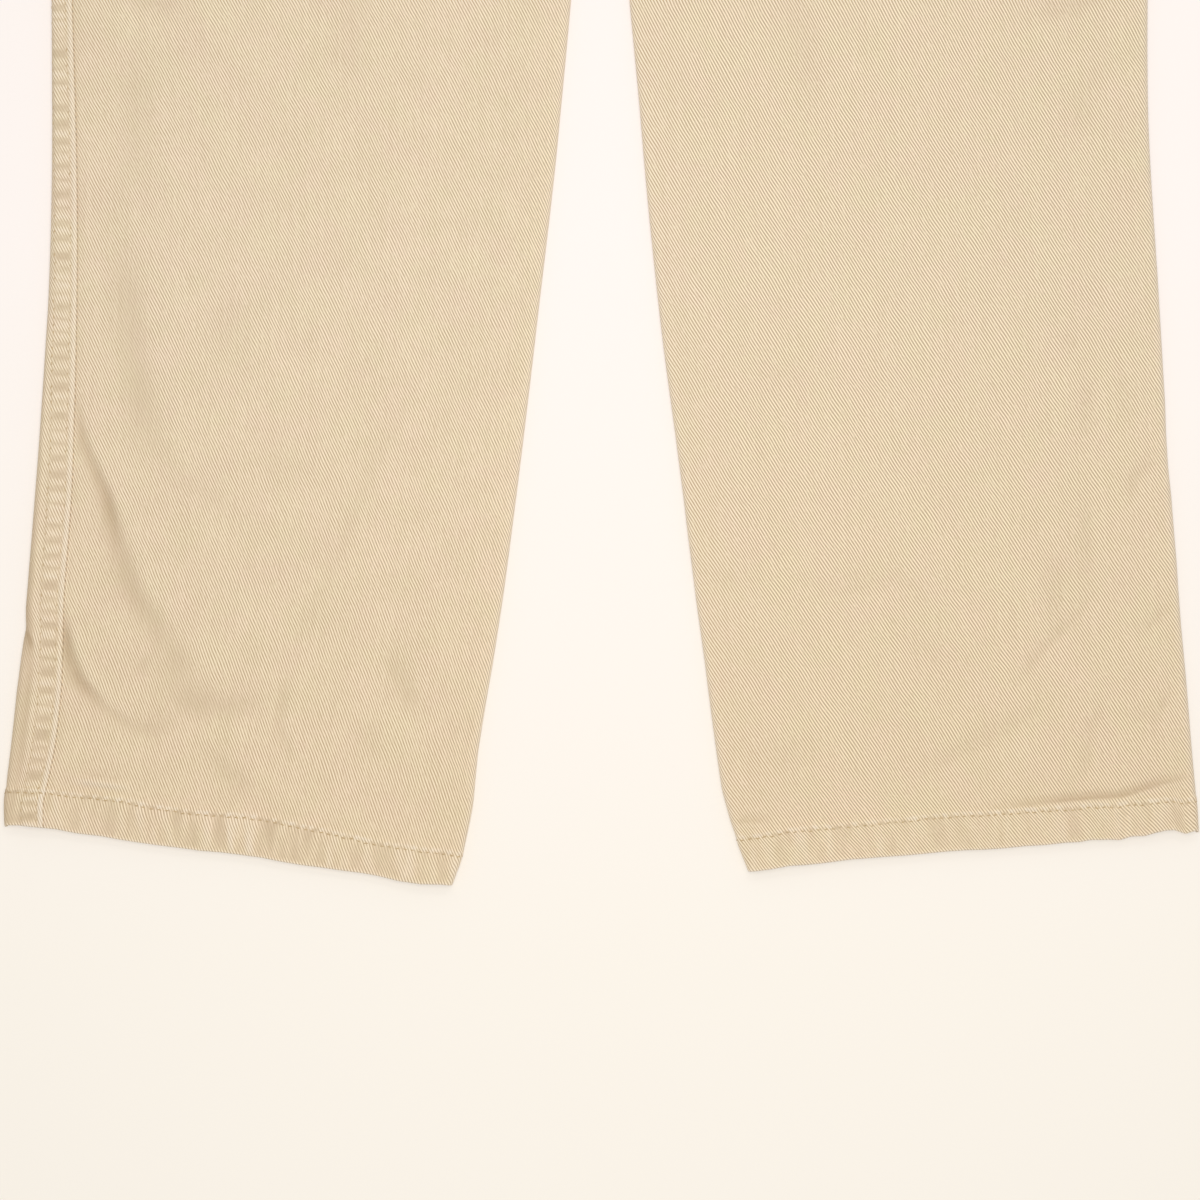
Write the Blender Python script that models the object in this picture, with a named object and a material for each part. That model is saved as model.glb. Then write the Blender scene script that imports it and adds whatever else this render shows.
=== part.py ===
"""Straight-leg jeans laid flat on a surface, front up, with the legs apart at the hems.

The sizes below are in millimetres and the model is in metres, +Z up. The surface is z = 0, +Y runs
from the hems to the waist, and the origin lies on the surface under the middle of the garment.
A leg is one flattened tube of cloth: an upper layer, a lower layer and two rolled edges. Every
panel is a stretch of that tube, so neighbours meet at their seams.
"""
import math
from collections import namedtuple

import bmesh
import bpy

MM = 0.001

# Cloth and seams
CLOTH = 1.2  # one ply of heavy cotton twill
SEAM_GAP = 0.3  # between pieces that are sewn together
ROLL = 2.9  # outside radius of a rolled edge, half the height of a leg laid flat
QUARTER = math.pi / 2 * ROLL  # way round a quarter of a rolled edge
HEM_DEPTH = 15.4
HEM_RAISE = 0.8  # extra plies of the turned-up hem
FOLDED_EDGE = 1.2  # width over which a folded edge or a seam's plies round off
FELL_WIDTH = 7.5  # felled side seam, outer row of stitches to folded edge
FELL_RAISE = 1.1

# Heights above the lowest point of the hems, on the middle line
SHIN = 275  # folds lie close together below here
KNEE = 440
INSEAM_TURN = 560  # the inner leg seams come round to the inner edges from here
SEAT = 690  # the back rises from here to make room for the pockets under it
SEAT_RISE = 50
THIGH = 700
INSEAM_HOME = 750  # and are there from here up
CROTCH = 760
CROTCH_RISE = 26  # height over which the inner leg edges open out into the body
HIP = 830  # the sections bow from here to the waist
WAIST_SEAM = 1005
BAND_HEIGHT = 40
WAIST_TOP = WAIST_SEAM + BAND_HEIGHT
FRONT_DIP = 22  # front waist edge below the side
BACK_RISE = 12  # back waist edge above the side
LENGTH = WAIST_TOP + BACK_RISE

# Body
PATCH_CLOTH = 1.0  # pockets and loops under the seat
SEAT_LIFT = PATCH_CLOTH + SEAM_GAP  # underside of the seat above the surface
POCKET_DROP = 78  # front pocket opening, down the side seam
POCKET_REACH = 104  # and along the waist seam
POCKET_BUTT = 0.35  # between a facing and the front panel's folded edge
FACING_SINK = 0.5  # facing below the panel along that edge
YOKE_SIDE = 44  # yoke height at the side seam
YOKE_CENTRE = 76  # and at the middle of the back
FLY_WIDTH = 40
FLY_LENGTH = 155
FLY_STRAIGHT = 0.62  # share of the length above the turn of the J
FLY_FOOT = 3  # width at the foot
FLY_LAP = 4  # past the middle line
FLY_CLOTH = 1.0
BAND_CLOTH = 2.4  # two plies of the waistband
BAND_RAISE = 0.6  # waistband's face above the front panel
BAND_ROUND = 0.5  # rounding of its two folded edges
UNDERLAP = 20  # waistband end under the buttoned one
UNDERLAP_DROP = 1.2
OVERLAP = 22  # waistband end with the button, past the middle line
OVERLAP_RISE = 1.5
LAP_START = 25  # the ends part in height from here
LAP_SLOPE = 28
LOOP_WIDTH = 11
LOOP_CLOTH = 1.2
LOOP_TAIL = 8  # below the waist seam
FRONT_LOOP = 98  # distance of the loops from the middle line
BACK_LOOP = 128
BUTTON_RADIUS = 8.5
BUTTON_HEIGHT = 3.0
BUTTON_PLACE = 8  # past the middle line

# Surface of the upper layer
SAG = 1.1  # middle of the upper layer below its rolled edges
SAG_REACH = 38  # distance from an edge to the full sag
FOLD_FADE = 8  # folds die out over this distance at an edge
OPEN_REACH = 60  # height over which the sag reaches the middle line above the crotch

Section = namedtuple("Section", "up centre width tilt")
# Cuts across a leg: height of its middle, distance of that from the middle line of the garment,
# width laid flat, and how far the outer end is turned up, in degrees.
LEFT_LEG = (
    Section(13.5, 164.0, 199.3, 7.7),
    Section(29, 162.0, 205.6, 7.5),
    Section(50, 158.5, 206.8, 7.2),
    Section(80, 154.4, 206.6, 6.8),
    Section(150, 145.6, 209.8, 6.2),
    Section(257, 135.6, 216.2, 5.2),
)
RIGHT_LEG = (
    Section(15.2, 164.8, 199.6, 5.2),
    Section(29, 161.2, 205.2, 5.3),
    Section(50, 158.0, 207.8, 5.5),
    Section(80, 154.5, 210.2, 5.7),
    Section(150, 146.9, 213.4, 5.8),
    Section(257, 136.4, 220.6, 5.2),
)
UPPER = (
    Section(340, 130.0, 224.0, 3.5),
    Section(440, 126.4, 233.8, 1.2),
    Section(520, 127.0, 242.0, 0.3),
    Section(600, 129.2, 250.0, 0),
    Section(700, 131.5, 258.0, 0),
    Section(760, 131.15, 262.0, 0),
    Section(800, 131.15, 262.0, 0),
    Section(850, 128.4, 256.5, 0),
    Section(920, 120.4, 240.5, 0),
    Section(1005, 109.15, 218.0, 0),
    Section(1045, 106.9, 213.5, 0),
)
SECTIONS = {-1: LEFT_LEG + UPPER, 1: RIGHT_LEG + UPPER}

Seam = namedtuple("Seam", "up onto_top")
# Side seam's way from the outer edge on to the upper layer. The left leg lies a little turned.
LEFT_SIDE_SEAM = (
    Seam(13.5, 20.0),
    Seam(45, 20.3),
    Seam(72, 21.2),
    Seam(107, 20.2),
    Seam(145, 19.2),
    Seam(174, 18.4),
    Seam(215, 16.7),
    Seam(257, 15.3),
    Seam(480, 8.6),
    Seam(690, 0),
    Seam(WAIST_TOP, 0),
)
RIGHT_SIDE_SEAM = (
    Seam(15.2, -2.5),
    Seam(480, -2.5),
    Seam(690, 0),
    Seam(WAIST_TOP, 0),
)
SIDE_SEAM = {-1: LEFT_SIDE_SEAM, 1: RIGHT_SIDE_SEAM}
FRONT_FULLNESS = 5  # front panel wider than one side of the leg laid flat

Fold = namedtuple("Fold", "x up x_end up_end half_width depth")
# Largest folds of the upper layer: troughs from one point to another, x to the right.
FOLDS = (
    Fold(-229, 200, -214, 150, 9, 1.0),
    Fold(-214, 150, -197, 116, 11, 1.2),
    Fold(-236, 110, -218, 80, 9, 1.5),
    Fold(-218, 80, -165, 76, 11, 1.1),
    Fold(-206, 262, -202, 215, 13, 0.9),
    Fold(-205, 470, -205, 262, 15, 0.8),
    Fold(183, 38, 262, 50, 9, 1.1),
    Fold(-60, 470, -215, 425, 18, 1.1),
    Fold(215, 520, 60, 470, 20, 1.1),
    Fold(-14, 752, -110, 700, 15, 1.3),
    Fold(-14, 778, -135, 765, 14, 1.2),
    Fold(14, 754, 120, 690, 16, 1.3),
    Fold(14, 782, 128, 778, 14, 1.1),
    Fold(-190, 850, -70, 815, 18, 0.9),
    Fold(195, 845, 80, 822, 18, 0.9),
)

Corner = namedtuple("Corner", "x up")
BACK_POCKET = (Corner(34, 912), Corner(186, 905), Corner(180, 775), Corner(112, 745), Corner(44, 775))
BACK_POCKET_ROUND = 6

Ring = namedtuple("Ring", "radius height")
# Half section of the button in shares of its radius and height, from its foot to its sunk face.
BUTTON_PROFILE = (
    Ring(0.75, 0),
    Ring(0.96, 0.18),
    Ring(1.0, 0.5),
    Ring(0.94, 0.85),
    Ring(0.84, 1.0),
    Ring(0.74, 0.86),
    Ring(0.4, 0.95),
)

TWILL = (0.753, 0.617, 0.429)
TWILL_ROUGHNESS = 0.85
BRASS = (0.36, 0.27, 0.16)
BRASS_ROUGHNESS = 0.35


def ease(value):
    """0 below 0, 1 above 1 and smooth between."""
    t = min(max(value, 0.0), 1.0)
    return t * t * (3 - 2 * t)


def read(table, up, column):
    """A column of a table of heights, read from a smooth curve through its rows."""
    heights = [row.up for row in table]
    values = [getattr(row, column) for row in table]
    last = len(table) - 2
    k = min(max(sum(1 for height in heights if height <= up) - 1, 0), last)
    span = heights[k + 1] - heights[k]
    step = (values[k + 1] - values[k]) / span
    before = (values[k] - values[k - 1]) / (heights[k] - heights[k - 1]) if k else step
    after = (values[k + 2] - values[k + 1]) / (heights[k + 2] - heights[k + 1]) if k < last else step
    start = 0 if before * step <= 0 else 2 * before * step / (before + step)
    end = 0 if after * step <= 0 else 2 * after * step / (after + step)
    t = (up - heights[k]) / span
    curve = values[k] * (1 + 2 * t) * (1 - t) ** 2 + values[k + 1] * t * t * (3 - 2 * t)
    return curve + span * (start * t * (1 - t) ** 2 - end * t * t * (1 - t))


def spread(breaks, counts):
    """Positions that part the stretches between the breaks evenly, counts in each."""
    positions = [breaks[0]]
    for start, end, count in zip(breaks, breaks[1:], counts):
        positions += [start + (end - start) * k / count for k in range(1, count + 1)]
    return positions


def inner_roll(up):
    """Angle through which the upper layer turns down at the inner end of a section."""
    return math.pi / 2 * (1 - ease((up - CROTCH) / CROTCH_RISE))


def top_length(side, up):
    """Way over the top of a section, from its outer edge to its inner edge or the middle line."""
    roll = inner_roll(up)
    width = read(SECTIONS[side], up, "width")
    return QUARTER + width - ROLL - ROLL * math.sin(roll) + ROLL * roll


def side_seam(side, up):
    """Way from the outer edge to the side seam."""
    return read(SIDE_SEAM[side], up, "onto_top")


def inseam(side, up):
    """Way from the inner edge to the inner leg seam, underneath."""
    home = ease((up - INSEAM_TURN) / (INSEAM_HOME - INSEAM_TURN))
    return (side_seam(side, up) + FRONT_FULLNESS) * (1 - home)


def fold_depth(x, up):
    """Depth of the large folds at a place on the upper layer."""
    depth = 0.0
    for fold in FOLDS:
        run_x = fold.x_end - fold.x
        run_up = fold.up_end - fold.up
        length = math.hypot(run_x, run_up)
        t = ((x - fold.x) * run_x + (up - fold.up) * run_up) / length**2
        t = min(max(t, 0.0), 1.0)
        off = math.hypot(x - fold.x - run_x * t, up - fold.up - run_up * t)
        depth = max(depth, fold.depth * math.exp(-((off / fold.half_width) ** 2)))
    return depth


def form(side, up, around, lift):
    """A point of the garment's outside, lifted off it along its normal.

    side is -1 for the left and 1 for the right, up is the height of the section's middle, and
    around is the way from the outer edge: positive over the top, negative underneath.
    """
    roll = inner_roll(up)
    width = read(SECTIONS[side], up, "width")
    centre = read(SECTIONS[side], up, "centre")
    tilt = math.radians(read(SECTIONS[side], up, "tilt"))
    straight = width - ROLL - ROLL * math.sin(roll)
    length = top_length(side, up)
    if around > length and roll > 0:
        around = around - 2 * length
    way = abs(around)
    if way < QUARTER:
        angle = way / ROLL
        inward = ROLL * (1 - math.cos(angle))
        rise = ROLL * math.sin(angle)
        normal_in = -math.cos(angle)
        normal_up = math.sin(angle)
    elif way < QUARTER + straight or roll == 0:
        inward = ROLL + way - QUARTER
        rise = ROLL
        normal_in = 0.0
        normal_up = 1.0
    else:
        angle = (way - QUARTER - straight) / ROLL
        inward = ROLL + straight + ROLL * math.sin(angle)
        rise = ROLL * math.cos(angle)
        normal_in = math.sin(angle)
        normal_up = math.cos(angle)
    over = 1 if around >= 0 else -1
    inward += normal_in * lift
    height = SEAT_LIFT * ease((up - SEAT) / SEAT_RISE) + ROLL + over * (rise + normal_up * lift)
    x = centre + (width / 2 - inward) * math.cos(tilt)
    y = up + (width / 2 - inward) * math.sin(tilt)
    if over > 0:
        open_body = OPEN_REACH * ease((up - CROTCH - CROTCH_RISE / 2) / OPEN_REACH)
        to_inner_edge = width - inward + open_body
        to_edge = min(inward, to_inner_edge) - ROLL
        height -= SAG * ease(to_edge / SAG_REACH)
        height -= fold_depth(side * x, y) * ease(to_edge / FOLD_FADE)
    bow = (1 - (x / (centre + width / 2)) ** 2) * ease((up - HIP) / (WAIST_SEAM - HIP))
    y += bow * (-FRONT_DIP if over > 0 else BACK_RISE)
    return side * x * MM, (y - LENGTH / 2) * MM, height * MM


def upward(side, up, around):
    """How far the outside faces up: 1 on the upper layer, 0 from the edges down."""
    length = top_length(side, up)
    inner = length - ROLL * inner_roll(up)
    if around < 0 or (around > length and inner_roll(up) > 0):
        return 0.0
    if around < QUARTER:
        return math.sin(around / ROLL)
    if around > inner and inner_roll(up) > 0:
        return math.cos((around - inner) / ROLL)
    return 1.0


def hem_fullness(side, up):
    """1 in the turned-up hem, 0 above it, rounded off at its lower edge."""
    above_edge = up - SECTIONS[side][0].up
    rounded = 0.35 + 0.65 * ease(above_edge / FOLDED_EDGE)
    return rounded * (1 - ease((above_edge - HEM_DEPTH) / FOLDED_EDGE))


def fell_fullness(side, up, around):
    """1 in the plies of the left leg's felled side seam, 0 past its outer row of stitches."""
    if side > 0 or around < 0:
        return 0.0
    past = side_seam(side, up) - around - FELL_WIDTH
    return 1 - ease(past / FOLDED_EDGE + 1)


def panel_wall(side, up, around, fell=0.0):
    """Outside and inside of a leg panel at a place."""
    facing_up = upward(side, up, around)
    hem = HEM_RAISE * hem_fullness(side, up)
    outside = form(side, up, around, (hem + fell) * facing_up)
    inside = form(side, up, around, -CLOTH - hem * (1 - facing_up))
    return outside, inside


def colour_object(body, colour, roughness, metallic):
    """Give an object a plain material of its own."""
    material = bpy.data.materials.new(body.name)
    material.use_nodes = True
    shader = material.node_tree.nodes["Principled BSDF"]
    shader.inputs["Base Color"].default_value = (*colour, 1)
    shader.inputs["Roughness"].default_value = roughness
    shader.inputs["Metallic"].default_value = metallic
    body.data.materials.append(material)


def add_object(name, bm, colour=TWILL, roughness=TWILL_ROUGHNESS, metallic=0.0):
    """Turn a bmesh into a named object with its faces out."""
    bmesh.ops.recalc_face_normals(bm, faces=bm.faces)
    mesh = bpy.data.meshes.new(name)
    bm.to_mesh(mesh)
    bm.free()
    mesh.shade_smooth()
    mesh.set_sharp_from_angle(angle=math.radians(50))
    body = bpy.data.objects.new(name, mesh)
    bpy.context.scene.collection.objects.link(body)
    colour_object(body, colour, roughness, metallic)
    return body


def add_wall(name, rows, columns, place):
    """A closed wall of cloth on a grid; place gives its outside and inside at a row and column."""
    bm = bmesh.new()
    bmesh.ops.create_grid(bm, x_segments=columns, y_segments=rows, size=0.5)
    extruded = bmesh.ops.extrude_face_region(bm, geom=bm.faces[:], use_keep_orig=True)
    inner = {item for item in extruded["geom"] if isinstance(item, bmesh.types.BMVert)}
    for vert in bm.verts:
        row = round((vert.co.y + 0.5) * rows)
        column = round((vert.co.x + 0.5) * columns)
        outside, inside = place(row, column)
        vert.co = inside if vert in inner else outside
    return add_object(name, bm)


def leg_rows(side):
    """Heights of the rows from the hem to the hip: close at the hem, the folds and the crotch."""
    hem = SECTIONS[side][0].up
    hem_top = hem + HEM_DEPTH
    open_body = CROTCH + CROTCH_RISE
    breaks = (hem, hem + FOLDED_EDGE, hem_top, hem_top + FOLDED_EDGE, SHIN, KNEE, THIGH)
    return spread(breaks + (CROTCH, open_body, HIP), (1, 1, 1, 18, 7, 9, 3, 7, 3))


def front_positions(side, up, start):
    """Way of each column of a front panel, from its outer end to its inner edge and under that."""
    length = top_length(side, up)
    end = length + inseam(side, up) - SEAM_GAP / 2
    flat = min(length + QUARTER, end - 1.0)
    edge = min(length, flat - 2.4)
    inner = min(length - ROLL * inner_roll(up), edge - 2.4)
    outer = max(QUARTER, start + 2.4)
    return spread((start, outer, inner, edge, flat, end), (2, 13, 2, 2, 1))


def add_front(side, name):
    """Front panel: upper layer of a leg and of half the body, cut away at the pocket opening."""
    rows = [(up, 0.0) for up in leg_rows(side)]
    rows += [(up, 0.0) for up in spread((HIP, WAIST_SEAM - POCKET_DROP), (3,))[1:]]
    for turn in spread((0, 90), (7,))[1:]:
        angle = math.radians(turn)
        rows.append((WAIST_SEAM - POCKET_DROP * math.cos(angle), POCKET_REACH * math.sin(angle)))
    rows[-1] = (WAIST_SEAM - SEAM_GAP / 2, POCKET_REACH)
    columns = len(front_positions(side, HIP, 0)) - 1

    def place(row, column):
        up, cut = rows[row]
        start = max(side_seam(side, up) + SEAM_GAP / 2, cut)
        return panel_wall(side, up, front_positions(side, up, start)[column])

    return add_wall(name, len(rows) - 1, columns, place)


def back_positions(side, up):
    """Way of each column of a back panel, from its side seam round and under the leg."""
    start = side_seam(side, up) - SEAM_GAP / 2
    breaks = [start]
    if side < 0:
        breaks += [start - FOLDED_EDGE, start - FELL_WIDTH + FOLDED_EDGE, start - FELL_WIDTH]
        marks = (QUARTER, QUARTER / 2, 0, -QUARTER / 2, -QUARTER)
    else:
        marks = (-QUARTER / 2 - 0.9, -QUARTER)
    for mark in marks:
        breaks.append(min(mark, breaks[-1] - 0.7))
    end = SEAM_GAP / 2 - top_length(side, up) + inseam(side, up)
    flat = max(ROLL * inner_roll(up) - top_length(side, up), end + 1.0)
    return spread(breaks + [flat, end], [1] * (len(breaks) - 1) + [7, 2])


def yoke_seam(side, up, around):
    """Height of the yoke seam where a way round the section crosses it."""
    width = read(SECTIONS[side], up, "width")
    inward = min(max((abs(around) - QUARTER) / width, 0.0), 1.0)
    return WAIST_SEAM - YOKE_SIDE - (YOKE_CENTRE - YOKE_SIDE) * inward


def add_back(side, name):
    """Back panel: lower layer of a leg and of half the seat, up to the yoke."""
    top = WAIST_SEAM - YOKE_SIDE
    rows = leg_rows(side) + spread((HIP, top), (5,))[1:]
    columns = len(back_positions(side, HIP)) - 1

    def place(row, column):
        up = rows[row]
        around = back_positions(side, up)[column]
        lowered = yoke_seam(side, up, around) - top - SEAM_GAP / 2
        up += lowered * ease((up - CROTCH - CROTCH_RISE) / (top - CROTCH - CROTCH_RISE))
        around = back_positions(side, up)[column]
        return panel_wall(side, up, around, FELL_RAISE * fell_fullness(side, up, around))

    return add_wall(name, len(rows) - 1, columns, place)


def add_yoke(side, name):
    """Half of the back yoke, between the back panel and the waistband."""
    rows = 4
    columns = len(back_positions(1, WAIST_SEAM)) - 1

    def way(up, column):
        return back_positions(1, up)[column]

    def place(row, column):
        low = yoke_seam(side, WAIST_SEAM, way(WAIST_SEAM, column)) + SEAM_GAP / 2
        up = low + (WAIST_SEAM - SEAM_GAP / 2 - low) * row / rows
        around = way(up, column)
        return form(side, up, around, 0), form(side, up, around, -CLOTH)

    return add_wall(name, rows, columns, place)


def add_facing(side, name):
    """Pocket facing: fills the scooped opening, a little below the front panel at its edge."""
    turns = spread((10, 90), (6,))
    counts = (3, 6)

    def place(row, column):
        angle = math.radians(turns[row])
        up = WAIST_SEAM - POCKET_DROP * math.cos(angle) + POCKET_BUTT
        up = min(up, WAIST_SEAM - SEAM_GAP / 2)
        end = POCKET_REACH * math.sin(angle) - POCKET_BUTT
        around = spread((SEAM_GAP / 2, QUARTER, end), counts)[column]
        sink = FACING_SINK * ease(1 - (end - around) / 10)
        return form(side, up, around, -sink), form(side, up, around, -CLOTH - sink)

    return add_wall(name, len(turns) - 1, sum(counts), place)


def raise_plate(bm):
    """Turn a flat sheet on the surface into a plate as thick as the patches under the seat."""
    raised = bmesh.ops.extrude_face_region(bm, geom=bm.faces[:], use_keep_orig=True)
    top = [item for item in raised["geom"] if isinstance(item, bmesh.types.BMVert)]
    bmesh.ops.translate(bm, verts=top, vec=(0, 0, PATCH_CLOTH * MM))


def add_back_pocket(side, name):
    """Patch pocket under the seat: wider at its mouth, with a pointed foot."""
    bm = bmesh.new()
    points = [
        bm.verts.new((side * corner.x * MM, (corner.up - LENGTH / 2) * MM, 0)) for corner in BACK_POCKET
    ]
    bm.faces.new(points)
    bmesh.ops.bevel(
        bm,
        geom=points,
        offset=BACK_POCKET_ROUND * MM,
        segments=3,
        profile=0.5,
        affect="VERTICES",
        material=-1,
    )
    raise_plate(bm)
    return add_object(name, bm)


def band_face(side, up, around):
    """Waistband's face over the front panel: its two ends part in height where they lap."""
    if around < QUARTER:
        return BAND_RAISE * upward(side, up, around)
    to_middle = top_length(side, up) - around
    lapped = 1 - ease((to_middle - LAP_START) / LAP_SLOPE)
    return BAND_RAISE + lapped * (OVERLAP_RISE if side > 0 else -UNDERLAP_DROP)


def add_waistband(name):
    """Waistband: one doubled strip from its underlap round the body to its buttoned end."""
    heights = (WAIST_SEAM + SEAM_GAP / 2, WAIST_SEAM + 2, WAIST_TOP - 2, WAIST_TOP)
    length = top_length(1, WAIST_SEAM)
    lap = LAP_START + LAP_SLOPE
    first = spread((length + UNDERLAP, length, length - lap, QUARTER, -QUARTER, -length), (2, 4, 6, 8, 8))
    second = spread((-length, -QUARTER, QUARTER, length - lap, length, length + OVERLAP), (8, 8, 6, 5, 2))
    columns = [(-1, way / length) for way in first] + [(1, way / length) for way in second[1:]]

    def place(row, column):
        side, share = columns[column]
        up = heights[row]
        around = share * top_length(side, up)
        face = band_face(side, up, around)
        rounding = BAND_ROUND if around > QUARTER and row in (0, len(heights) - 1) else 0.0
        outside = form(side, up, around, face - rounding)
        return outside, form(side, up, around, face - BAND_CLOTH)

    return add_wall(name, len(heights) - 1, len(columns) - 1, place)


def add_fly(name):
    """J-shaped fly placket on the right front, lapped a little past the middle line."""
    parts = spread((0, FLY_STRAIGHT, 1), (5, 7))
    columns = 6

    def place(row, column):
        up = WAIST_SEAM - SEAM_GAP / 2 - FLY_LENGTH * parts[row]
        turn = max((parts[row] - FLY_STRAIGHT) / (1 - FLY_STRAIGHT), 0.0)
        reach = FLY_WIDTH * math.sqrt(max(1 - turn**2, 0.0)) + FLY_FOOT * turn
        x = -FLY_LAP + (reach + FLY_LAP) * column / columns
        around = top_length(1, up) - x
        return form(1, up, around, SEAM_GAP + FLY_CLOTH), form(1, up, around, SEAM_GAP)

    return add_wall(name, len(parts) - 1, columns, place)


def add_front_loop(side, name):
    """Belt loop on the front of the waistband, its tail on the panel below."""
    ups = spread((WAIST_SEAM - LOOP_TAIL, WAIST_SEAM - 1, WAIST_SEAM + 1.5, WAIST_TOP), (2, 1, 5))
    columns = 3

    def place(row, column):
        up = ups[row]
        around = top_length(side, up) - FRONT_LOOP + LOOP_WIDTH * (column / columns - 0.5)
        below = SEAM_GAP + BAND_RAISE * ease((up - WAIST_SEAM + 1) / 2)
        return form(side, up, around, below + LOOP_CLOTH), form(side, up, around, below)

    return add_wall(name, len(ups) - 1, columns, place)


def add_back_loop(x, name):
    """Belt loop under the back of the waistband, flat on the surface."""
    outer = read(UPPER, WAIST_SEAM, "centre") + read(UPPER, WAIST_SEAM, "width") / 2
    rise = BACK_RISE * (1 - (x / outer) ** 2)
    low = WAIST_SEAM - LOOP_TAIL + rise - LENGTH / 2
    high = WAIST_TOP + rise - LENGTH / 2 - SEAM_GAP
    bm = bmesh.new()
    bmesh.ops.create_grid(bm, x_segments=1, y_segments=4, size=0.5)
    for vert in bm.verts:
        vert.co = ((x + LOOP_WIDTH * vert.co.x) * MM, (low + (high - low) * (vert.co.y + 0.5)) * MM, 0)
    raise_plate(bm)
    return add_object(name, bm)


def add_button(name):
    """Waist button: a cap with a rolled rim, on the buttoned end of the waistband."""
    up = WAIST_SEAM + BAND_HEIGHT / 2
    centre = form(1, up, top_length(1, up) + BUTTON_PLACE, BAND_RAISE + OVERLAP_RISE + SEAM_GAP)
    bm = bmesh.new()
    ring = [
        bm.verts.new((part.radius * BUTTON_RADIUS * MM, 0, part.height * BUTTON_HEIGHT * MM))
        for part in BUTTON_PROFILE
    ]
    edges = [bm.edges.new(pair) for pair in zip(ring, ring[1:])]
    turned = {"axis": (0, 0, 1), "cent": (0, 0, 0), "angle": math.tau, "steps": 24}
    bmesh.ops.spin(bm, geom=ring + edges, use_merge=True, **turned)
    bmesh.ops.holes_fill(bm, edges=[edge for edge in bm.edges if edge.is_boundary], sides=0)
    bmesh.ops.translate(bm, verts=bm.verts, vec=centre)
    return add_object(name, bm, BRASS, BRASS_ROUGHNESS, 1.0)


def main():
    for body in list(bpy.data.objects):
        bpy.data.objects.remove(body, do_unlink=True)
    for side, word in ((-1, "left"), (1, "right")):
        add_front(side, f"front_{word}")
        add_back(side, f"back_{word}")
        add_yoke(side, f"yoke_{word}")
        add_facing(side, f"pocket_facing_{word}")
        add_back_pocket(side, f"back_pocket_{word}")
    add_waistband("waistband")
    add_fly("fly")
    add_front_loop(-1, "belt_loop_1")
    add_front_loop(1, "belt_loop_2")
    for number, x in ((3, -BACK_LOOP), (4, 0), (5, BACK_LOOP)):
        add_back_loop(x, f"belt_loop_{number}")
    add_button("button")


main()
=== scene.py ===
import math

import bmesh
import bpy
import numpy as np
from mathutils import Matrix, Vector


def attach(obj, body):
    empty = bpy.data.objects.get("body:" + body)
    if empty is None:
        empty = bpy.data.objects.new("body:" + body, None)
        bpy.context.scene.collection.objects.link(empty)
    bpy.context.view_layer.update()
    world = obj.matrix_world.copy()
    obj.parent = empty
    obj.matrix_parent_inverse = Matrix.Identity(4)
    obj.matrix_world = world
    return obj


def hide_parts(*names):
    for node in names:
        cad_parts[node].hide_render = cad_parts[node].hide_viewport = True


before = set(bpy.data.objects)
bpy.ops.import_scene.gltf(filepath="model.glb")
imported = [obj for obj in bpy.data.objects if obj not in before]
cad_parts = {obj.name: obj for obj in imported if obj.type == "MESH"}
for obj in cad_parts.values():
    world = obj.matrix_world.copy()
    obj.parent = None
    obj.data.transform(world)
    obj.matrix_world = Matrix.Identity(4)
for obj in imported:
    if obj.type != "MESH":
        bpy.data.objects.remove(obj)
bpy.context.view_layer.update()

print("frame loaded:", len(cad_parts), "nodes")

# Straight-leg jeans laid flat, front up. Sizes are in millimetres until a point is placed.
mm = 0.001

# The laid form: each leg is a flattened tube, open into the body above the crotch.
laid = {
    "length": 1057.0,
    "roll": 2.9,  # outside radius of a rolled edge
    "crotch": 760.0,
    "crotchRise": 26.0,
    "hip": 830.0,
    "waistSeam": 1005.0,
    "waistTop": 1045.0,
    "frontDip": 22.0,
    "backRise": 12.0,
    "seat": 690.0,
    "seatRise": 50.0,
    "seatLift": 1.3,
    "sag": 1.1,
    "sagReach": 38.0,
    "foldFade": 6.0,
    "crease": 1.3,
    "openReach": 60.0,
    "seamGap": 0.3,
    "inseamTurn": 560.0,
    "inseamHome": 750.0,
    "fullness": 5.0,  # front panel wider than one side of the leg
    "dentReach": 16.0,
    "hemRiseFade": 45.0,
    "underHem": 1.05,  # the lower layer's hem rises by this much of the upper one's
    "centreRun": 1.75,  # one panel runs on under the other at the centre seams
    "centrePress": 1.15,
    "centreRows": (2.0, 8.0),
}
quarter = math.pi / 2 * laid["roll"]

# Cuts across a leg: height of the middle, its distance from the middle line, width, and tilt in degrees.
sectionColumns = {"centre": 1, "width": 2, "tilt": 3}
upperCuts = [
    (340, 130.0, 224.0, 3.5),
    (440, 126.4, 233.8, 1.2),
    (520, 127.0, 242.0, 0.3),
    (600, 129.2, 250.0, 0),
    (700, 131.5, 258.0, 0),
    (760, 131.15, 262.0, 0),
    (800, 131.15, 262.0, 0),
    (850, 128.4, 256.5, 0),
    (920, 120.4, 240.5, 0),
    (1005, 109.15, 218.0, 0),
    (1045, 106.9, 213.5, 0),
]
legCuts = {
    -1: [
        (13.5, 164.0, 199.3, 7.7),
        (29, 162.0, 205.6, 7.5),
        (50, 158.5, 206.8, 7.2),
        (80, 154.4, 206.6, 6.8),
        (150, 145.6, 209.8, 6.2),
        (257, 135.6, 216.2, 5.2),
    ] + upperCuts,
    1: [
        (15.2, 164.8, 199.6, 5.2),
        (29, 161.2, 205.2, 5.3),
        (50, 158.0, 207.8, 5.5),
        (80, 154.5, 210.2, 5.7),
        (150, 146.9, 213.4, 5.8),
        (257, 136.4, 220.6, 5.2),
    ] + upperCuts,
}
hemUp = {-1: 13.5, 1: 15.2}

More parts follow.
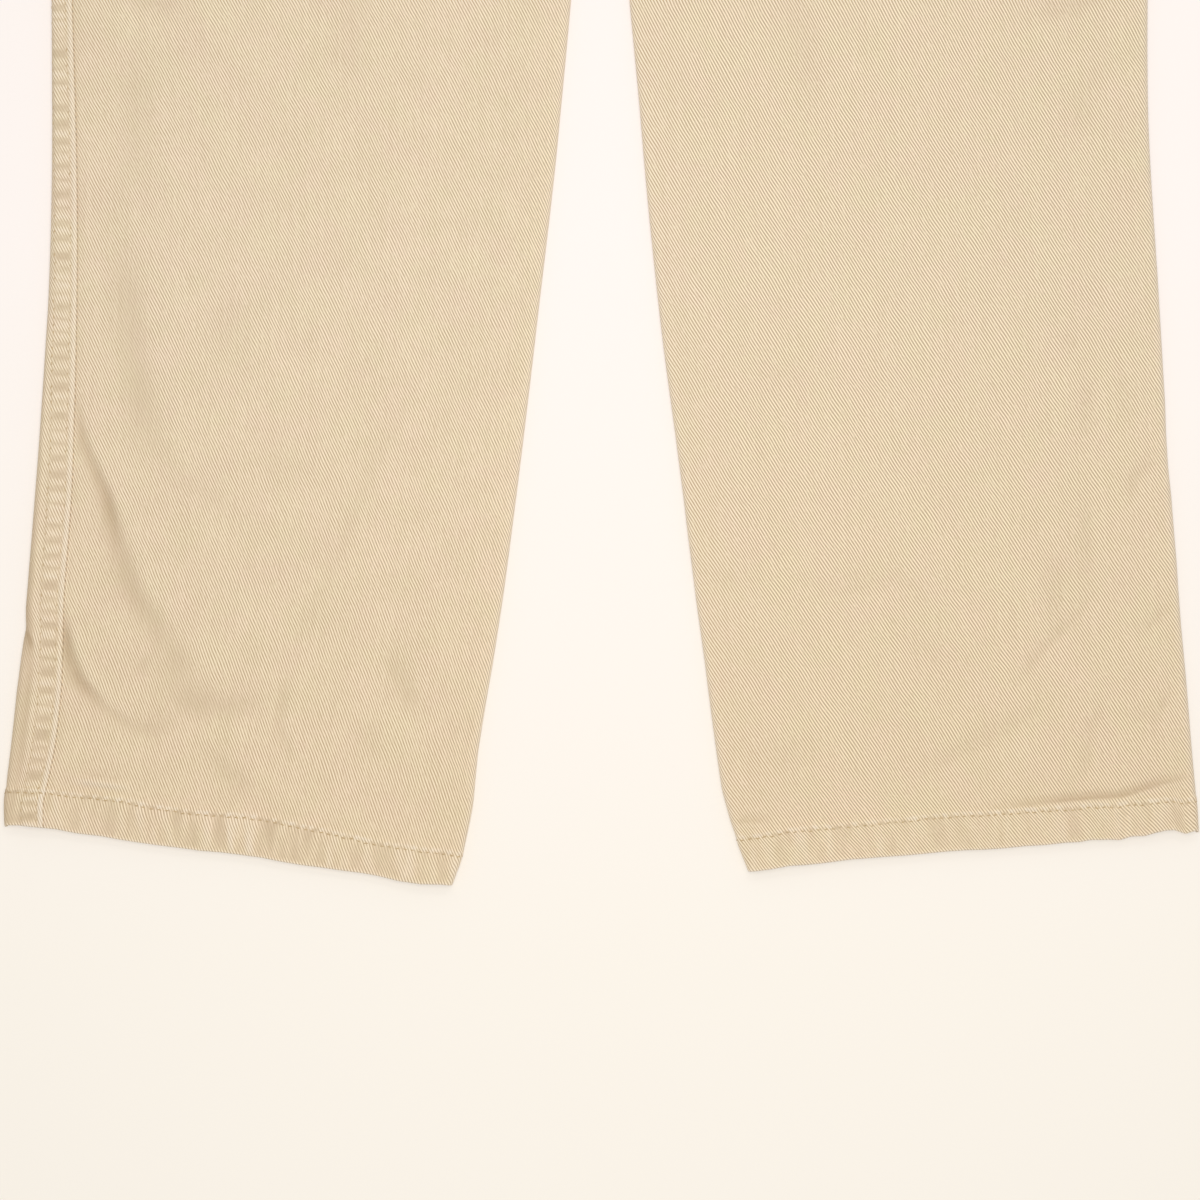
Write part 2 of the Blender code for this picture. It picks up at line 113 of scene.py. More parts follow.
# Way of each side seam from the outer edge on to the upper layer: the left leg lies a little turned.
seamWays = {
    -1: [(13.5, 19.6), (20, 20.4), (32, 21.9), (43, 22.6), (53, 22.8), (64, 22.6), (75, 22.2), (86, 21.4), (97, 20.3),
         (107, 19.4), (118, 18.7), (128, 18.4), (145, 18.3), (160, 18.2), (174, 17.8), (203, 16.7), (257, 14.9),
         (480, 8.6), (690, 0), (1045, 0)],
    1: [(15.2, -2.5), (480, -2.5), (690, 0), (1045, 0)],
}

# Creases of the upper layer: the line each follows (x, up), its half width and depth, and how
# sharply its right-hand side comes up again (1 is even, less is sharper). A ridge has a depth below 0.
creases = [
    # left leg, as in the photo
    ([(-230.6, 215), (-227.4, 196), (-217.8, 173.6), (-213, 153)], 2.6, 0.95, 0.85),
    ([(-221, 181), (-217, 171), (-211.4, 147.6), (-205, 129.5), (-195, 114)], 5.0, 0.75, 0.85),
    ([(-205, 129.5), (-195.6, 114), (-186.6, 103.5), (-181.5, 89.4)], 6.5, 0.34, 0.9),
    ([(-194, 84), (-176, 80), (-163.4, 79.5), (-146.3, 81.5)], 5.5, 0.34, 1.0),
    ([(-237.4, 121), (-236, 112), (-233.5, 101), (-229.3, 91), (-222, 83)], 3.2, 1.25, 0.85),
    ([(-231, 94), (-218.9, 80.2), (-207.3, 71.4), (-202, 70)], 2.7, 0.52, 0.8),
    ([(-207, 71), (-195.6, 69.5), (-186.6, 76)], 4.5, 0.34, 1.0),
    ([(-205, 99), (-199, 96)], 4.5, 0.35, 1.0),
    ([(-197, 101), (-180, 88), (-165, 80)], 9.0, 0.25, 1.0),
    ([(-93.4, 104), (-86, 88), (-80, 81)], 4.5, 0.32, 1.0),
    ([(-88, 84), (-80, 80)], 6.0, 0.22, 1.0),
    ([(-137.4, 93.4), (-140.9, 72), (-136, 57)], 2.6, 0.4, 0.7),
    ([(-74, 236), (-100, 186), (-119.4, 137.4), (-129.5, 119), (-137.4, 93.4)], 3.5, 0.15, 1.0),
    ([(-173.6, 59.5), (-152.9, 41.4)], 4.5, 0.32, 0.9),
    ([(-211, 290), (-206.5, 240), (-203, 215), (-198.2, 196.9), (-189, 183.9)], 7.2, 0.46, 1.0),
    ([(-189, 184), (-160.8, 165.6)], 5.0, 0.2, 1.0),
    ([(-254, 132), (-252.5, 118), (-251.5, 104)], 2.6, 0.6, 0.8),
    ([(-251, 112), (-250.4, 98), (-253.5, 72), (-256.5, 44)], 1.7, 0.5, 0.9),
    ([(-258, 33), (-256, 16)], 4.0, 0.4, 1.0),
    ([(-232, 47), (-222, 46), (-207, 44)], 1.7, -1.15, 1.0),
    ([(-253.4, 114.5), (-250.8, 110), (-249.6, 104.5)], 1.3, 1.0, 0.7),
    ([(-256.4, 110), (-255.2, 100)], 1.6, -0.6, 1.0),
    ([(-166, 262), (-158, 232)], 9.0, 0.14, 1.0),
    ([(-146, 204), (-140, 178)], 8.0, 0.12, 1.0),
    ([(-168, 140), (-150, 120)], 9.0, -0.14, 1.0),
    ([(-108, 72), (-96, 58)], 8.0, 0.12, 1.0),
    # right leg, as in the photo
    ([(209, 243.6), (204, 239.6)], 4.0, 0.22, 1.0),
    ([(216, 225.6), (214.5, 197)], 4.2, 0.22, 0.8),
    ([(230, 228), (231.4, 204.6)], 4.0, 0.16, 1.0),
    ([(244, 190), (236.6, 181.5), (232.6, 171)], 3.0, 0.34, 0.8),
    ([(217, 176), (214.5, 155.5), (214.5, 127)], 4.6, 0.24, 0.7),
    ([(202.2, 150), (200.4, 115)], 5.5, 0.22, 0.8),
    ([(217, 127), (204.4, 114), (193.8, 103.5), (183.3, 89.4)], 2.8, 0.36, 0.8),
    ([(251, 124.5), (238, 111.5)], 2.7, 0.32, 0.8),
    ([(199, 82), (173, 67.4), (138, 50)], 4.6, 0.22, 0.9),
    ([(223.8, 82.8), (217, 72.5), (214.5, 54.2), (209.3, 44)], 3.0, 0.27, 0.7),
    ([(252, 88), (245.8, 77.5), (243, 67.4)], 2.6, 0.3, 0.8),
    ([(240.5, 80), (238, 73)], 2.0, 0.28, 1.0),
    ([(166, 34.8), (196, 37)], 1.3, 0.3, 0.8),
    ([(183, 36.6), (207, 39), (231, 40.8), (242.5, 44.6), (252, 47.4), (266, 50)], 1.4, 1.05, 0.7),
    ([(58, 29.2), (75, 30)], 1.6, 0.55, 0.8),
    ([(69.6, 62), (95, 57)], 8.0, 0.15, 1.0),
    ([(90, 135.4), (105.7, 132), (131.7, 137.4), (152, 123)], 5.0, 0.16, 1.0),
    ([(50, 136), (62, 136)], 5.0, 0.14, 1.0),
    ([(77, 232), (85, 219)], 10.0, 0.12, 1.0),
    ([(150, 108), (144, 99)], 13.0, 0.12, 1.0),
    ([(110, 190), (128, 170)], 12.0, -0.1, 1.0),
    ([(176, 60), (196, 58)], 6.0, -0.12, 1.0),
    # knees and thighs, out of the photo
    ([(-66, 474), (-98, 463), (-138, 453), (-176, 436)], 5.5, 0.8, 0.8),
    ([(-122, 455), (-148, 438), (-164, 414)], 5.0, 0.42, 0.85),
    ([(-72, 508), (-104, 504), (-136, 494)], 4.5, 0.5, 0.9),
    ([(-214, 441), (-190, 427), (-160, 421)], 4.5, 0.55, 0.8),
    ([(-222, 405), (-204, 392), (-182, 388)], 4.0, 0.45, 0.9),
    ([(-206, 372), (-203, 340), (-210, 300)], 8.0, 0.35, 1.0),
    ([(-96, 420), (-108, 386), (-111, 352)], 6.5, 0.28, 1.0),
    ([(-88, 489), (-128, 477)], 6.0, -0.3, 1.0),
    ([(-232, 560), (-206, 545), (-178, 537)], 5.0, 0.5, 0.75),
    ([(-66, 590), (-84, 572), (-92, 548)], 5.0, 0.35, 1.0),
    ([(-110, 640), (-122, 600), (-125, 556)], 9.0, 0.26, 1.0),
    ([(-196, 660), (-178, 622), (-172, 590)], 10.0, 0.22, 1.0),
    ([(214, 518), (176, 507), (138, 497), (96, 479)], 6.0, 0.8, 0.8),
    ([(152, 500), (124, 479), (106, 452)], 5.0, 0.42, 0.85),
    ([(204, 471), (178, 460), (150, 456)], 4.5, 0.5, 1.0),
    ([(64, 458), (82, 446), (106, 441)], 4.5, 0.4, 0.9),
    ([(232, 402), (212, 389), (187, 383)], 4.5, 0.45, 0.8),
    ([(226, 366), (214, 352), (210, 330)], 4.5, 0.32, 0.9),
    ([(80, 402), (90, 372), (93, 340)], 7.0, 0.28, 1.0),
    ([(180, 488), (140, 478)], 6.0, -0.3, 1.0),
    ([(62, 562), (82, 543), (112, 534)], 5.0, 0.42, 1.0),
    ([(120, 640), (133, 606), (137, 566)], 9.0, 0.26, 1.0),
    ([(204, 668), (190, 630), (186, 600)], 10.0, 0.22, 1.0),
    # fan of drag lines from the crotch, and across the hips
    ([(-14, 752), (-42, 743), (-78, 728), (-108, 703)], 6.5, 0.95, 0.75),
    ([(-16, 778), (-50, 778), (-92, 774), (-130, 760)], 6.0, 0.85, 0.75),
    ([(-16, 735), (-40, 708), (-57, 676), (-66, 642)], 5.5, 0.7, 0.8),
    ([(-24, 800), (-60, 809), (-102, 810)], 6.0, 0.45, 0.8),
    ([(-34, 762), (-70, 757), (-98, 746)], 4.5, 0.3, 0.9),
    ([(14, 754), (46, 742), (84, 720), (114, 691)], 6.5, 0.95, 0.75),
    ([(16, 782), (54, 786), (94, 782), (124, 772)], 6.0, 0.8, 0.75),
    ([(16, 737), (37, 708), (51, 674), (57, 646)], 5.5, 0.7, 0.8),
    ([(28, 806), (62, 818), (98, 822)], 5.5, 0.42, 0.8),
    ([(36, 764), (66, 757), (90, 742)], 4.5, 0.3, 0.9),
    ([(-192, 852), (-152, 848), (-112, 836), (-78, 817)], 7.0, 0.55, 0.8),
    ([(-238, 801), (-214, 796), (-190, 784)], 5.0, 0.5, 0.8),
    ([(-246, 760), (-224, 752)], 4.5, 0.35, 0.9),
    ([(196, 846), (156, 846), (118, 837), (86, 822)], 7.0, 0.55, 0.8),
    ([(240, 790), (210, 785), (182, 774)], 5.0, 0.5, 0.8),
    ([(248, 744), (226, 738)], 4.5, 0.35, 0.9),
    ([(-124, 901), (-96, 897), (-62, 885)], 6.5, 0.35, 1.0),
    ([(72, 906), (104, 903), (132, 890)], 6.5, 0.35, 1.0),
    # across the pocket openings and below the waistband
    ([(-150, 985), (-136, 974), (-120, 960)], 4.5, 0.35, 1.0),
    ([(150, 980), (139, 967), (128, 955)], 4.5, 0.35, 1.0),
    ([(-72, 976), (-60, 956), (-55, 938)], 4.5, 0.35, 1.0),
    ([(62, 979), (69, 962), (70, 944)], 4.5, 0.35, 1.0),
    ([(-30, 972), (-34, 946)], 4.0, 0.25, 1.0),
]

# Shallow creases pressed into the lower layer, seen from below.
underCreases = [
    ([(-230, 60), (-170, 90), (-120, 96)], 6, 0.5, 0.7),
    ([(-90, 150), (-120, 230)], 8, 0.4, 1.0),
    ([(-215, 330), (-150, 350), (-70, 340)], 9, 0.6, 0.8),
    ([(-205, 500), (-130, 470)], 9, 0.6, 0.8),
    ([(-60, 600), (-110, 690)], 9, 0.5, 0.8),
    ([(225, 75), (150, 92)], 6, 0.5, 0.7),
    ([(210, 240), (150, 205), (100, 200)], 8, 0.4, 1.0),
    ([(75, 345), (150, 330), (215, 350)], 9, 0.6, 0.8),
    ([(60, 470), (150, 500)], 9, 0.6, 0.8),
    ([(70, 610), (115, 700)], 9, 0.5, 0.8),
    ([(-20, 760), (-90, 735)], 8, 0.7, 0.7),
    ([(20, 765), (100, 735)], 8, 0.7, 0.7),
]


def ease(value):
    t = np.clip(value, 0.0, 1.0)
    return t * t * (3 - 2 * t)


def readTable(table, up, column):  # smooth curve through one column of a table of heights
    heights = np.array([row[0] for row in table], float)
    values = np.array([row[column] for row in table], float)
    steps = np.diff(values) / np.diff(heights)
    before = np.append(steps[0], steps)
    after = np.append(steps, steps[-1])
    sameWay = before * after > 0
    slopes = np.where(sameWay, 2 * before * after / np.where(sameWay, before + after, 1), 0)
    k = np.clip(np.searchsorted(heights, up, side="right") - 1, 0, len(steps) - 1)
    span = heights[k + 1] - heights[k]
    t = (up - heights[k]) / span
    curve = values[k] * (1 + 2 * t) * (1 - t) ** 2 + values[k + 1] * t * t * (3 - 2 * t)
    return curve + span * (slopes[k] * t * (1 - t) ** 2 - slopes[k + 1] * t * t * (1 - t))


def innerRoll(up):
    return math.pi / 2 * (1 - ease((up - laid["crotch"]) / laid["crotchRise"]))


def topLength(side, up):  # way over the top of a section
    roll = innerRoll(up)
    width = readTable(legCuts[side], up, 2)
    return quarter + width - laid["roll"] * (1 + np.sin(roll) - roll)


def seamWay(side, up):
    return readTable(seamWays[side], up, 1)


def inseamWay(side, up):  # way from the inner edge to the inner leg seam, underneath
    home = ease((up - laid["inseamTurn"]) / (laid["inseamHome"] - laid["inseamTurn"]))
    return (seamWay(side, up) + laid["fullness"]) * (1 - home)


def creaseDepth(lines, x, up):
    depth = np.zeros(np.shape(x))
    for path, halfWidth, deep, sharp in lines:
        path = np.array(path, float)
        runs = np.diff(path, axis=0)
        lengths = np.hypot(runs[:, 0], runs[:, 1])
        starts = np.append(0, np.cumsum(lengths))
        nearest = np.full(np.shape(x), 1e9)
        along = np.zeros(np.shape(x))
        rightOf = np.zeros(np.shape(x))
        for k, run in enumerate(runs):
            awayX = x - path[k, 0]
            awayUp = up - path[k, 1]
            t = np.clip((awayX * run[0] + awayUp * run[1]) / lengths[k] ** 2, 0, 1)
            off = np.hypot(awayX - run[0] * t, awayUp - run[1] * t)
            closer = off < nearest
            nearest = np.where(closer, off, nearest)
            along = np.where(closer, starts[k] + lengths[k] * t, along)
            # the right-hand side of the garment, whichever way the line is given
            rightOf = np.where(closer, np.sign(awayX * abs(run[1]) - awayUp * run[0] * np.sign(run[1] or 1)), rightOf)
        width = halfWidth * np.where(rightOf > 0, sharp, 2 - sharp)
        share = along / starts[-1]
        taper = 0.25 + 0.75 * ease(np.minimum(share, 1 - share) / 0.3)
        lip = 0.22 * np.exp(-(((nearest - 1.9 * halfWidth * sharp) / (0.9 * halfWidth * sharp)) ** 2)) * (rightOf > 0)
        depth += deep * taper * (np.exp(-((nearest / width) ** 2)) - lip)
    return depth


# Uneven lower edges of the hems: way round from the outer edge, and rise.
hemRises = {
    -1: [(0, 0.1), (4, 1.2), (8, 1.7), (16, 1.9), (25, 2.2), (34, 1.6), (45, 1.8), (53, 1.4), (63, 1.2),
         (71, 1.2), (80, 1.3), (89, 1.3), (98, 1.8), (107, 1.9), (116, 1.9), (125, 1.3), (134, 1), (143, 1.1),
         (152, 1), (160, 1.1), (168, 0.8), (177, -0.2), (187, -0.3), (196, 0.8), (200, 0.9), (203, 1)],
    1: [(0, 0.2), (3.5, 1.2), (8, 0.3), (13, 2.4), (17, 2.5), (22, 1.7), (26, 0.9), (32, 1.2), (37, 0.1),
        (41, 0.6), (50, 1.3), (55, 0.8), (61, 1.1), (70, 0.9), (79, 1.2), (88, 1.1), (97, 1.3), (105, 1.8),
        (114, 2), (123, 1.9), (132, 1.9), (141, 2.1), (150, 2.2), (156, 2.3), (168, 1.8), (176, 1.7), (183, 2),
        (192, 1.2), (200, 1)],
}


# How far each edge of a leg gives way inward, by height along the leg.
edgeDents = {
    -1: {"outer": [(16, 0.3), (31, 1.8), (45.5, 1.4), (60, 0.9), (74, 0.4), (88, 0.4), (97, 0.6), (103, 1.1),
                   (107, 0.5), (112, 0), (131, -0.3), (160, -0.35), (203, -0.2), (231, 0), (246, 0.25), (400, 0)],
         "inner": [(13.5, 0), (50, 0), (60, 0.5), (72, 0.9), (88, 0.5), (110, 0), (400, 0)]},
    1: {"outer": [(15, 0.2), (63, 0.35), (105, 0.6), (119, 0.4), (133, 0.1), (161, 0.2), (176, 0.7),
                  (190, 0.6), (204, 0.2), (400, 0)],
        "inner": [(15, 0), (24, 1.2), (31, 1.6), (39, 0.8), (53, -0.2), (67, 0), (82, 0.15), (110, 0.35), (138, 0.05),
                  (166, 0.2), (180, 0.5), (209, 0.75), (223, 0.7), (257, 0.4), (400, 0)]},
}


def edgeDent(side, edge, up):
    return np.interp(up, *zip(*edgeDents[side][edge]))


# painted shade: how dark the creases are painted, less above the lower legs; ridges and lips are painted lighter, up
# to a limit
creaseShade = {"most": 0.75, "lessAbove": 0.25, "from": 260.0, "over": 40.0, "ridge": -0.9}


def paintedCreaseShade(side, up, around):  # painted shade in the creases of the upper layer, and painted light on their ridges
    points = form(side, up, around) / mm
    dark = creaseDepth(creases, points[..., 0], points[..., 1] + laid["length"] / 2)
    above = ease((up - creaseShade["from"]) / creaseShade["over"])
    strength = creaseShade["most"] - creaseShade["lessAbove"] * above
    return -strength * np.maximum(dark, creaseShade["ridge"]) * facingUp(side, up, around)


def hemRise(side, around):
    ways, rises = zip(*hemRises[side])
    return np.interp(around, ways, rises)


def form(side, up, around, lift=0.0):
    # A point of the garment's outside in metres, lifted off it along its normal. side is -1 for the
    # left, around is the way from the outer edge: positive over the top, negative underneath.
    up, around, lift = (np.array(part, float) for part in np.broadcast_arrays(up, around, lift))
    r = laid["roll"]
    roll = innerRoll(up)
    width = readTable(legCuts[side], up, sectionColumns["width"])
    centre = readTable(legCuts[side], up, sectionColumns["centre"])
    tilt = np.radians(readTable(legCuts[side], up, sectionColumns["tilt"]))
    straight = width - r - r * np.sin(roll)
    length = topLength(side, up)
    around = np.where((around > length) & (roll > 0), around - 2 * length, around)
    way = np.abs(around)
    outerTurn = way / r
    innerTurn = (way - quarter - straight) / r
    zones = [way < quarter, (way < quarter + straight) | (roll == 0)]
    inward = np.select(zones, [r * (1 - np.cos(outerTurn)), r + way - quarter], r + straight + r * np.sin(innerTurn))
    rise = np.select(zones, [r * np.sin(outerTurn), r], r * np.cos(innerTurn))
    normalIn = np.select(zones, [-np.cos(outerTurn), 0], np.sin(innerTurn))
    normalUp = np.select(zones, [np.sin(outerTurn), 1], np.cos(innerTurn))
    top = around >= 0
    over = np.where(top, 1, -1)
    inward = inward + normalIn * lift
    height = laid["seatLift"] * ease((up - laid["seat"]) / laid["seatRise"]) + r + over * (rise + normalUp * lift)
    outerDent = edgeDent(side, "outer", up) * (1 - ease(inward / laid["dentReach"]))
    innerDent = edgeDent(side, "inner", up) * (1 - ease((width - inward) / laid["dentReach"]))
    inward = inward + outerDent - innerDent
    x = centre + (width / 2 - inward) * np.cos(tilt)
    y = up + (width / 2 - inward) * np.sin(tilt)
    openBody = laid["openReach"] * ease((up - laid["crotch"] - laid["crotchRise"] / 2) / laid["openReach"])
    toEdge = np.minimum(inward, width - inward + openBody) - r
    fade = ease(toEdge / laid["foldFade"])
    sunk = laid["sag"] * ease(toEdge / laid["sagReach"]) + laid["crease"] * creaseDepth(creases, side * x, y) * fade
    pressed = creaseDepth(underCreases, side * x, y) * fade
    height += np.where(top, -sunk, pressed)
    bow = (1 - (x / (centre + width / 2)) ** 2) * ease((up - laid["hip"]) / (laid["waistSeam"] - laid["hip"]))
    y = y + bow * np.where(top, -laid["frontDip"], laid["backRise"])
    hemShare = 1 - ease((up - hemUp[side]) / laid["hemRiseFade"])
    y += hemRise(side, way) * hemShare * np.where(top, 1, laid["underHem"])
    return np.stack([side * x, y - laid["length"] / 2, height], axis=-1) * mm


def puckerLine(seed, length, pitch, width, stray=0.45):  # an uneven row of small swells along a seam
    dice = np.random.default_rng(seed)
    places = np.cumsum(pitch * dice.uniform(1 - stray, 1 + stray, int(length / pitch) + 4))
    sizes = dice.uniform(1 - 1.5 * stray, 1.0, len(places))
    ways = np.arange(0, length, 0.5)
    swell = np.zeros(len(ways))
    for place, size in zip(places, sizes):
        swell += size * np.exp(-(((ways - place) / (width * dice.uniform(0.8, 1.25))) ** 2))
    return ways, swell - swell.mean()


def readLine(line, way):
    return np.interp(way, line[0], line[1])


def dip(off, halfWidth):
    return np.exp(-((off / halfWidth) ** 2))


def rowGrooves(off, rows, halfWidth=0.8):  # a groove pressed in along each row of stitches
    return sum(dip(off - row, halfWidth) for row in rows)


def srgb(hexCode):  # sRGB hex to linear
    parts = [int(hexCode[k:k + 2], 16) / 255 for k in (1, 3, 5)]
    return [c / 12.92 if c <= 0.04045 else ((c + 0.055) / 1.055) ** 2.4 for c in parts] + [1]


def addNode(tree, kind, values=None, links=None, **settings):  # a linked node stands for its first output
    node = tree.nodes.new("ShaderNode" + kind)
    for setting, value in settings.items():
        setattr(node, setting, value)
    for socket, value in (values or {}).items():
        node.inputs[socket].default_value = value
    for socket, source in (links or {}).items():
        output = source.outputs[0] if isinstance(source, bpy.types.Node) else source
        tree.links.new(output, node.inputs[socket])
    return node


def newMaterial(name, levels):  # levels are the sockets' values that stay the same all over
    material = bpy.data.materials.new(name)
    material.use_nodes = True
    shader = material.node_tree.nodes["Principled BSDF"]
    for socket, level in levels.items():
        shader.inputs[socket].default_value = level
    return material, material.node_tree, shader


def meshFrom(bm, name):
    mesh = bpy.data.meshes.new(name)
    bm.to_mesh(mesh)
    bm.free()
    return mesh


def addObject(name, data):
    added = bpy.data.objects.new(name, data)
    bpy.context.scene.collection.objects.link(added)
    return added


# Camera, light and the surface the garment lies on
view = {
    "middle": (0.0, -0.4016),
    "span": 0.5286,  # width of the photo's frame on the garment
    "lens": 90.0,
    "sensor": 36.0,
    "height": 0.005,
}


def setCamera():
    lens = bpy.data.cameras.new("camera")
    lens.lens = view["lens"]
    lens.sensor_width = view["sensor"]
    lens.clip_end = 20
    camera = addObject("camera", lens)
    distance = view["span"] * view["lens"] / view["sensor"]
    camera.location = (*view["middle"], view["height"] + distance)
    bpy.context.scene.camera = camera


light = {
    "nearFrom": (0.03, 0.06, 1.0),  # over the lower legs, from the middle of the view
    "nearWatts": 4.3,
    "farFrom": (0.1, 0.8, 1.15),  # over the waist
    "farWatts": 2.0,
    "size": 0.4,
    "colour": "#fffdfa",
    "roomStrength": 0.585,
    "roomColour": "#ffffff",
}


def setLights():
    for name, start, watts in (("near lamp", "nearFrom", "nearWatts"), ("far lamp", "farFrom", "farWatts")):
        lamp = bpy.data.lights.new(name, "AREA")
        lamp.shape = "DISK"
        lamp.size = light["size"]
        lamp.energy = light[watts]
        lamp.color = srgb(light["colour"])[:3]
        holder = addObject(name, lamp)  # looks straight down
        holder.location = Vector((*view["middle"], 0)) + Vector(light[start])
    world = bpy.data.worlds.new("room")
    world.use_nodes = True
    background = world.node_tree.nodes["Background"]
    background.inputs["Color"].default_value = srgb(light["roomColour"])
    background.inputs["Strength"].default_value = light["roomStrength"]
    bpy.context.scene.world = world
    bpy.context.scene.view_settings.view_transform = "Standard"


surface = {
    "size": 5.0,
    "drop": 0.2,  # below the garment, in mm
    "near": "#faf3e8",
    "far": "#fcf4ef",
    "toned": (-0.56, -0.24),  # painted light: the tone goes from the warmer near one to the far one between these
    "paint": 0.5,
    # painted light: the board's own glow, which fills in the shadows on it
    "glow": 0.5,
}


def addFloor():
    bm = bmesh.new()
    bmesh.ops.create_grid(bm, x_segments=1, y_segments=1, size=surface["size"] / 2)
    bmesh.ops.translate(bm, verts=bm.verts, vec=(0, 0, -surface["drop"] * mm))
    floor = addObject("floor", meshFrom(bm, "floor"))
    floor.data.materials.append(glowingBoard())


def glowingBoard():
    # white board, matt and slightly warm. Painted light: it glows by itself, so it only just takes a shadow, and it
    # is warmer towards the near end
    levels = {"Emission Strength": surface["glow"], "Roughness": 0.8}
    material, tree, shader = newMaterial("board with painted glow", levels)
    where = addNode(tree, "TexCoord").outputs["Object"]
    along = addNode(tree, "SeparateXYZ", links={"Vector": where})
    start, end = surface["toned"]
    far = addNode(tree, "MapRange", {"From Min": start, "From Max": end}, {"Value": along.outputs["Y"]})
    tone = addNode(tree, "MixRGB", {"Color1": srgb(surface["near"]), "Color2": srgb(surface["far"])},
                   {"Fac": far})
    grey = (surface["paint"], surface["paint"], surface["paint"], 1)
    paint = addNode(tree, "MixRGB", {"Fac": 1.0, "Color2": grey}, {"Color1": tone},
                    blend_type="MULTIPLY")
    tree.links.new(paint.outputs["Color"], shader.inputs["Base Color"])
    tree.links.new(tone.outputs["Color"], shader.inputs["Emission Color"])
    return material


setCamera()
setLights()
addFloor()
print("camera, light and surface set")

# Garment-washed cotton twill. Steep lines of the weave run from upper left to lower right.
twillLook = {
    "period": 1.17,  # across the twill lines, mm
    "slant": 28.7,  # twill lines off the warp, degrees
    "light": "#fbefd9",
    "dark": "#c0ad93",
    # the pale colour for rubbed wear and painted light
    "wearAndLight": "#fdeed8",
    # the deeper colour for painted shade
    "deep": "#b49c7c",
    "bump": 0.12,
}


